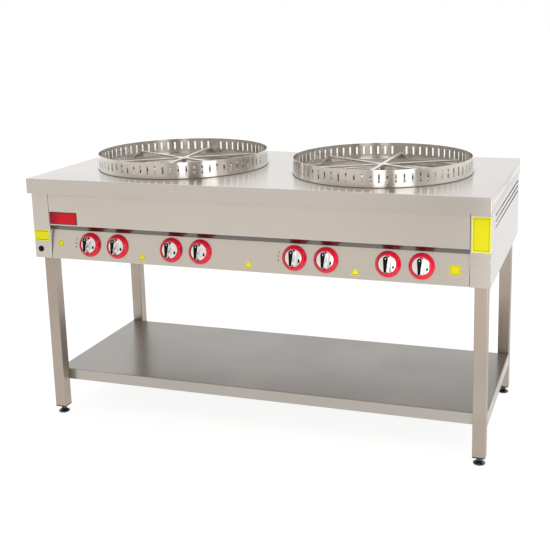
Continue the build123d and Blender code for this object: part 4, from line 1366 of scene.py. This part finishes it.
@dataclass
class PanelPrints:
    """Bare stickers, the badge and the dial marks, each where its print would be."""

    seats: dict[int, Seat]
    film: float = 0.22 * MM
    ink: float = 0.06 * MM
    corner: float = 2 * MM
    badge: Box = ((-701 * MM, 694 * MM), (-598 * MM, 735.5 * MM))
    badge_edge: Levels = ((0, 0), (0, 0.7 * MM), (0.5 * MM, 1.0 * MM))
    badge_face: Levels = (
        (2.2 * MM, 0.9 * MM), (2.2 * MM, 1.15 * MM), (2.6 * MM, 1.45 * MM), (3.4 * MM, 1.65 * MM),
        (6 * MM, 1.8 * MM),
    )
    sticker: Box = ((-764 * MM, 634 * MM), (-709 * MM, 672 * MM))
    rule_inset: float = 3 * MM
    rule_width: float = 1.4 * MM
    rule_foot: float = 4 * MM
    rule_head: float = 5.5 * MM
    label: Box = ((707.7 * MM, 681 * MM), (764 * MM, 789 * MM))
    label_border: float = 2.4 * MM
    label_rule: Span = (6 * MM, 6.8 * MM)
    wide_corner: float = 3 * MM
    triangle_places: tuple[float, ...] = (-365 * MM, 8 * MM, 356 * MM)
    triangle_down: float = -28.2 * MM
    triangle_side: float = 27 * MM
    triangle_corner: float = 2.2 * MM
    triangle_rule: Span = (0.84, 0.74)
    round_place: Span = (-670 * MM, -1 * MM)
    round_r: float = 11 * MM
    round_rule: Span = (0.88, 0.8)
    tag: Box = ((642 * MM, -20 * MM), (676 * MM, 10 * MM))
    tag_corner: float = 6 * MM
    tag_rule: Levels = ((2.5 * MM, 4.4 * MM), (3.4 * MM, 4 * MM))
    marked_taps: tuple[int, ...] = (1, 5)
    mark_circle_r: float = 53 * MM
    mark_r: float = 2.5 * MM
    mark_degrees: tuple[float, ...] = (164, 177, 190)
    stroke: Box = ((-1.1 * MM, -4 * MM), (1.1 * MM, 4 * MM))
    stroke_corner: float = 1 * MM

    def film_on(self, name: str, seat: Seat, outline: np.ndarray, finish: Finish) -> None:
        """Stick a film of one outline to a face."""
        film = stacked([outline, outline], [0.0, self.film])
        dressed(name, seat.hold(film), finish)

    def ink_on(self, name: str, seat: Seat, lines: list[np.ndarray], over: float = 0.0) -> None:
        """Print a closed line on a film or over it.

        Args:
            name: the piece's name.
            seat: the face it is on.
            lines: its outer and its inner outline.
            over: how far it is lifted off the film.
        """
        foot = self.film - self.ink + over
        line = ring_plate(*lines, foot, foot + 2 * self.ink)
        dressed(name, seat.hold(line), STICKER_INK)

    def build_badge(self, front: Seat) -> None:
        """Dark edged plate with a domed red face that is left bare.

        Args:
            front: the front sheet's seat.
        """
        plate = slab(self.badge, self.badge_edge, self.wide_corner)
        dressed("badge_edge", front.hold(plate), BADGE_EDGE)
        dome = slab(self.badge, self.badge_face, self.corner)
        dressed("badge_face", front.hold(dome), BADGE_RED)

    def build_stickers(self, front: Seat) -> None:
        """The two front stickers with their ruled lines.

        Args:
            front: the front sheet's seat.
        """
        foot, head = self.film - self.ink, self.film + self.ink
        outline = soft_corners(rectangle(*self.sticker), self.corner)
        self.film_on("sticker_left", front, outline, STICKER_YELLOW)
        (x0, z0), (x1, z1) = self.sticker
        for name, z in (("foot", z0 + self.rule_foot), ("head", z1 - self.rule_head)):
            bar = ((x0 + self.rule_inset, z), (x1 - self.rule_inset, z + self.rule_width))
            rule = slab(bar, ((0, foot), (0, head)))
            dressed(f"sticker_rule_{name}", front.hold(rule), STICKER_INK)
        rim = soft_corners(rectangle(*self.label), self.wide_corner)
        self.film_on("label_rim", front, rim, LABEL_PALE)
        face = slab(self.label, ((self.label_border, foot), (self.label_border, head)), self.corner)
        dressed("label_face", front.hold(face), RIGHT_SIDE_SHADED_YELLOW)
        lines = [soft_corners(rectangle(*self.label, way), self.corner) for way in self.label_rule]
        self.ink_on("label_rule", front, lines, over=self.ink)

    def build_panel_stickers(self, panel: Seat) -> None:
        """Round, three-cornered and square stickers on the sloping panel.

        Args:
            panel: the sloping panel's seat.
        """
        spot, place = circle(self.round_r, 48), np.array(self.round_place)
        self.film_on("sticker_round", panel, spot + place, STICKER_YELLOW)
        lines = [spot * share + place for share in self.round_rule]
        self.ink_on("sticker_round_rule", panel, lines)
        points = np.array([(-0.5, -0.45), (0.5, -0.45), (0.0, 0.47)]) * self.triangle_side
        for number, x in enumerate(self.triangle_places, start=1):
            middle = np.array([x, self.triangle_down])
            edge, *lines = [
                soft_corners(points * share + middle, self.triangle_corner * share)
                for share in (1, *self.triangle_rule)
            ]
            self.film_on(f"sticker_triangle_{number}", panel, edge, STICKER_YELLOW)
            self.ink_on(f"sticker_triangle_rule_{number}", panel, lines)
        tag = soft_corners(rectangle(*self.tag), self.tag_corner)
        self.film_on("sticker_tag", panel, tag, RIGHT_SIDE_SHADED_YELLOW)
        lines = [soft_corners(rectangle(*self.tag, way), corner) for way, corner in self.tag_rule]
        self.ink_on("sticker_tag_rule", panel, lines)

    def build_dial_marks(self) -> None:
        """Two plain dots and a short stroke beside each marked tap, on an arc about its axis."""
        dot = circle(self.mark_r, 24)
        stroke = soft_corners(rectangle(*self.stroke), self.stroke_corner, 4)
        for number in self.marked_taps:
            marks = zip(self.mark_degrees, (stroke, dot, dot))
            for place, (degrees, shape) in enumerate(marks, start=1):
                angle = math.radians(degrees)
                c, s = math.cos(angle), math.sin(angle)
                middle = self.mark_circle_r * np.array([c, s])
                outline = shape @ np.array([[-c, -s], [s, -c]]) + middle
                mark = self.seats[number].hold(stacked([outline] * 2, [0.0, 2 * self.ink]))
                dressed(f"dial_mark_{number}_{place}", mark, MARK_BROWN)

    def build(self) -> None:
        """Make every print."""
        self.build_badge(front_seat())
        self.build_stickers(front_seat())
        self.build_panel_stickers(panel_seat(self.seats[1]))
        self.build_dial_marks()


@dataclass
class FrontJoints:
    """Shaded strip under the fascia, and dark lines of painted shadow in the joints round the fascia and the tap
    panel.
    """

    seats: dict[int, Seat]
    strip_top: float = 11.2 * MM
    strip_curve: float = 0.32
    strip_foot: float = 19.6 * MM
    strip_sheet: float = 0.3 * MM
    strip_height: float = 17.6 * MM
    strip_under: float = 0.2 * MM
    strip_ends: float = 0.5 * MM
    line_width: float = 1.5 * MM
    line_proud: float = 0.12 * MM
    line_shoulder: Span = (0.3, 0.6)
    panel_share: float = 0.9985
    panel_ends: Span = (1 * MM, -19 * MM)
    lip_ends: float = 2 * MM
    lip_joint: float = 1.5 * MM
    lip_narrowing: float = 0.999
    lip_levels_mm: tuple[float, ...] = (-0.1, 0.05, 0.1)

    def build_strip(self, low: np.ndarray, high: np.ndarray) -> None:
        """Thin sheet that leans out to its top edge, swept from end to end of the fascia.

        The lean is rise * (1 - curve + curve * rise), which turns outwards as it rises.

        Args:
            low: lowest corner of the fascia's box.
            high: its highest corner.
        """
        rise = np.linspace(0, 1, 8)
        lean = rise * (1 - self.strip_curve + self.strip_curve * rise)
        out = low[1] + self.strip_foot + (self.strip_top - self.strip_foot) * lean
        up = low[2] - self.strip_under - self.strip_height * (1 - rise)
        face = np.column_stack([out, up])
        outline = np.vstack([face, face[::-1] + np.array([self.strip_sheet, 0.0])])
        sheet = stacked([outline, outline], [low[0] + self.strip_ends, high[0] - self.strip_ends])
        swept = Surface(sheet.points[:, [2, 0, 1]], sheet.faces)
        # Its tilt gives real reflections of the bezels; its dark colour is painted shade under the fascia.
        dressed("shaded_strip", swept, PAINTED_SHADE_STRIP_STEEL)

    def build_lip_joint(self) -> None:
        """Low dark ridge along the foot of the top's folded lip, a painted shadow under the lip."""
        low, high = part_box("top_sheet")
        start = (low[0] + self.lip_ends, low[2] - self.lip_joint)
        under = rectangle(start, (high[0] - self.lip_ends, low[2]))
        narrower = under * np.array([self.lip_narrowing, 1.0])
        ridge = stacked([under, under, narrower], np.array(self.lip_levels_mm) * MM)
        dressed("lip_joint_front", front_seat().hold(ridge), JOINT_SHADOW_GREY)

    def build_end_joints(self, low: np.ndarray, high: np.ndarray) -> None:
        """Low dark ridges of painted shadow in the joints, upright beside the fascia and sloping beside the tap
        panel.

        Args:
            low: lowest corner of the fascia's box.
            high: its highest corner.
        """
        tap, half, proud = self.seats[1], self.line_width / 2, self.line_proud
        rise, inset = self.line_shoulder
        levels = ((0, -proud), (0, rise * proud), (inset * half, proud))
        panel_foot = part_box("control_panel")[0][2] - tap.origin[2] + self.panel_ends[0]
        panel_head = (low[2] + self.panel_ends[1] - tap.origin[2]) / abs(tap.out[1])
        for side, x in (("left", low[0]), ("right", high[0])):
            for name, seat, middle, foot, head in (
                ("fascia", front_seat(), x, low[2], high[2]),
                ("panel", panel_seat(tap), x * self.panel_share, panel_foot, panel_head),
            ):
                ridge = slab(((middle - half, foot), (middle + half, head)), levels)
                dressed(f"{name}_joint_{side}", seat.hold(ridge), JOINT_SHADOW_GREY)

    def build(self) -> None:
        """Make the strip and the joints."""
        low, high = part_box("fascia")
        self.build_strip(low, high)
        self.build_lip_joint()
        self.build_end_joints(low, high)


@dataclass
class BackScrews:
    """Pan-head screws of the back panel, each with a cross recess."""

    head_r: float = 4.2 * MM
    head: float = 1.6 * MM
    head_edge: float = 0.25
    crown_power: float = 4
    above_edge: tuple[float, ...] = (29.5 * MM, 114.5 * MM, 199.5 * MM)
    arm_length: float = 2.4 * MM
    arm_width: float = 0.55 * MM
    arm_ease: float = 0.18 * MM
    recess: float = 0.9 * MM
    steps: int = 96
    rings: int = 28

    def within(self, value: np.ndarray, limit: float) -> np.ndarray:
        """One inside the limit, eased to nothing over a short way."""
        return np.clip((limit - np.abs(value)) / self.arm_ease + 0.5, 0, 1)

    def head_surface(self) -> Surface:
        """Domed head on a polar grid, less a cross.

        The height is head * (edge + (1 - edge) * (1 - (r/R)^4)), and the recess is taken off where
        one of x and y is within the arm's width and the other within its length, eased at the
        arm's sides.

        Returns:
            The head with its axis along Z and its seat at 0.
        """
        angle = np.linspace(0, FULL_TURN, self.steps, endpoint=False)[:, None]
        radius = np.linspace(0, self.head_r, self.rings)[None, :]
        x, y = radius * np.cos(angle), radius * np.sin(angle)
        arms = np.maximum(*(
            self.within(a, self.arm_width) * self.within(b, self.arm_length)
            for a, b in ((x, y), (y, x))
        ))
        dome = 1 - (radius / self.head_r) ** self.crown_power
        height = self.head * (self.head_edge + (1 - self.head_edge) * dome) - self.recess * arms
        crown = np.stack([x, y, height], axis=-1)
        foot = crown[:, -1:] * np.array([1, 1, 0])
        points = np.concatenate([crown, foot, 0 * foot], axis=1).reshape(-1, 3)
        return Surface(points, [grid_quads(self.steps, self.rings + 2, True, False)])

    def build(self) -> None:
        """Make the six screws on the back."""
        _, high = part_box("back_panel_screws")
        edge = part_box("side_panel_right")[0][2]
        head = self.head_surface()
        x, back = high[0] - self.head_r, high[1] - self.head
        for side, sign in (("left", -1), ("right", 1)):
            for number, rise in enumerate(self.above_edge, start=1):
                seat = Seat(np.array([sign * x, back, edge + rise]), np.array([0.0, 1.0, 0.0]))
                replaced = ("back_panel_screws",) if (side, number) == ("left", 1) else ()
                name = f"back_screw_{side}_{number}"
                dressed(name, seat.hold(head), SCREW_STEEL, replaces=replaced)


@dataclass
class SoftBox:
    """A lamp with a rectangular face, which is out of sight itself."""

    name: str
    place: Place
    aim: Place
    size: Span
    watts: float

    def hang(self) -> None:
        """Hang the lamp with its face to its aim."""
        lamp = bpy.data.lights.new(self.name, "AREA")
        lamp.shape = "RECTANGLE"
        lamp.size, lamp.size_y = self.size
        lamp.energy = self.watts
        holder = placed(self.name, lamp)
        way = (Vector(self.aim) - Vector(self.place)).to_track_quat("-Z", "Y")
        holder.matrix_world = Matrix.Translation(self.place) @ way.to_matrix().to_4x4()
        holder.visible_camera = False


@dataclass
class Studio:
    """Pale floor, soft light all round and the camera where the photographer stood."""

    yaw: float = math.radians(18.682)
    pitch: float = math.radians(11.859)
    roll: float = math.radians(-1.225)
    place: Place = (1.1195, -3.0845, 1.3936)
    lens: float = 63.52
    sensor: float = 36.0
    shift: Span = (-0.05, -0.12)
    white: Colour = (1.0, 1.0, 1.0)
    front_glow: Colour = (0.86, 0.81, 0.75)
    back_glow: Colour = (1.27, 1.27, 1.29)
    front_from: Span = (0.3, -0.7)
    dark_gap: Colour = (0.3, 0.275, 0.26)
    gap_left: Span = (0.2, 0.3)
    gap_right: Span = (0.85, 0.75)
    gap_ahead: Span = (-0.3, -0.5)
    floor_half: float = 40.0
    floor_warm: Span = (-0.6, -3.0)
    patch_place: Place = (2.6, -4.2, 0.0)
    patch_turn: Place = (0.0, 0.0, math.radians(-58))
    patch_size: Place = (2.6, 0.95, 1.0)
    patch_edge: Span = (1.0, 0.6)
    right_shade: Colour = (0.48, 0.45, 0.42)
    shade_across: Span = (-0.75, 0.5)
    shade_ahead: Span = (-1.9, -2.7)
    paper_dark: float = 0.78
    paper_rough: float = 0.9
    paper_glow: float = 0.85
    lamps: tuple[SoftBox, ...] = (
        SoftBox("soft_box_front", (0.86, -2.75, 0.95), (0.5, 0.0, 0.95), (0.62, 1.8), 8.5),
        SoftBox("reflector_right", (1.09, -0.99, 0.95), (0.13, -0.7, 0.95), (0.54, 1.6), 6.5),
    )

    def build_world(self) -> None:
        """White to look at, while metal mirrors a bright sweep behind and a warm room in front.

        The room is dark in a tall gap right of the camera, where the photographer stood.
        """
        world = bpy.data.worlds.new("studio")
        world.use_nodes = True
        bpy.context.scene.world = world
        sketch = NodeSketch(world.node_tree)
        way = sketch.parts(sketch.add("ShaderNodeTexCoord").outputs["Generated"])
        gap = sketch.times(
            sketch.steps(way["X"], *self.gap_left), sketch.steps(way["X"], *self.gap_right)
        )
        gap = sketch.times(gap, sketch.steps(way["Y"], *self.gap_ahead))
        room = sketch.mix(gap, self.front_glow, self.dark_gap)
        room = sketch.mix(sketch.steps(way["Y"], *self.front_from), self.back_glow, room)
        glow = sketch.mix(sketch.seen(), room, self.white)
        light = sketch.add("ShaderNodeBackground", {"Color": glow, "Strength": 1.0}).outputs[0]
        sketch.add("ShaderNodeOutputWorld", {"Surface": light})

    def mirrored_floor(self, sketch: NodeSketch) -> Socket:
        """The floor as metal mirrors it: warmer further out, with a dark patch and a dim right.

        Args:
            sketch: the floor material's nodes.

        Returns:
            The colour.
        """
        place = sketch.place()
        part = sketch.parts(place)
        colour = sketch.mix(sketch.steps(part["Y"], *self.floor_warm), self.white, self.front_glow)
        inputs = {
            "Vector": place,
            "Location": self.patch_place,
            "Rotation": self.patch_turn,
            "Scale": self.patch_size,
        }
        turned = sketch.add("ShaderNodeMapping", inputs, vector_type="TEXTURE").outputs[0]
        reach = sketch.vector("LENGTH", turned)["Value"]
        colour = sketch.mix(sketch.steps(reach, *self.patch_edge), colour, self.dark_gap)
        right = sketch.times(
            sketch.steps(part["X"], *self.shade_across), sketch.steps(part["Y"], *self.shade_ahead)
        )
        return sketch.mix(right, colour, self.right_shade)

    def build_floor(self) -> None:
        """Plain white floor to look at, which metal mirrors in its own shades."""
        mesh = bpy.data.meshes.new("studio_floor")
        half = self.floor_half
        corners = [(x, y, 0) for x, y in rectangle((-half, -half), (half, half)).tolist()]
        mesh.from_pydata(corners, [], [(0, 1, 2, 3)])
        material = bpy.data.materials.new("studio paper")
        material.use_nodes = True
        sketch = NodeSketch(material.node_tree)
        colour = sketch.mix(sketch.seen(), self.mirrored_floor(sketch), self.white)
        inputs = {
            "Base Color": sketch.mix(self.paper_dark, colour, (0.0, 0.0, 0.0)),
            "Roughness": self.paper_rough,
            "Specular IOR Level": 0.0,
            "Emission Color": colour,
            "Emission Strength": self.paper_glow,
        }
        paper = sketch.add("ShaderNodeBsdfPrincipled", inputs).outputs[0]
        sketch.add("ShaderNodeOutputMaterial", {"Surface": paper})
        mesh.materials.append(material)
        placed("studio_floor", mesh)

    def build_camera(self) -> None:
        """Camera from its yaw, pitch and roll."""
        cy, sy = math.cos(self.yaw), math.sin(self.yaw)
        cp, sp = math.cos(self.pitch), math.sin(self.pitch)
        ahead, level = Vector((-sy * cp, cy * cp, -sp)), Vector((cy, sy, 0.0))
        above = level.cross(ahead)
        right = math.cos(self.roll) * level + math.sin(self.roll) * above
        up = -math.sin(self.roll) * level + math.cos(self.roll) * above
        data = bpy.data.cameras.new("photographer")
        data.lens, data.sensor_width = self.lens, self.sensor
        data.shift_x, data.shift_y = self.shift
        camera = placed("photographer", data)
        turn = Matrix((right, up, -ahead)).transposed().to_4x4()
        camera.matrix_world = Matrix.Translation(self.place) @ turn
        bpy.context.scene.camera = camera

    def build(self) -> None:
        """Set up the whole studio."""
        bpy.context.scene.view_settings.view_transform = "Standard"
        self.build_world()
        self.build_floor()
        for lamp in self.lamps:
            lamp.hang()
        self.build_camera()


def main() -> None:
    """Build and dress the stove."""
    logging.basicConfig(level=logging.INFO, format="%(name)s: %(message)s")
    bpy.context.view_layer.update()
    seats = tap_seats()
    CarriedNodes().dress()
    for side in ("left", "right"):
        WindGuard(side).build()
        for number in (1, 2, 3, 4):
            RingPorts(side, number).build()
    for number, seat in seats.items():
        TapKnob(number, seat).build()
    Bezels(seats).build()
    PanelPrints(seats).build()
    FrontJoints(seats).build()
    BackScrews().build()
    Studio().build()


if __name__ == "__main__":
    main()
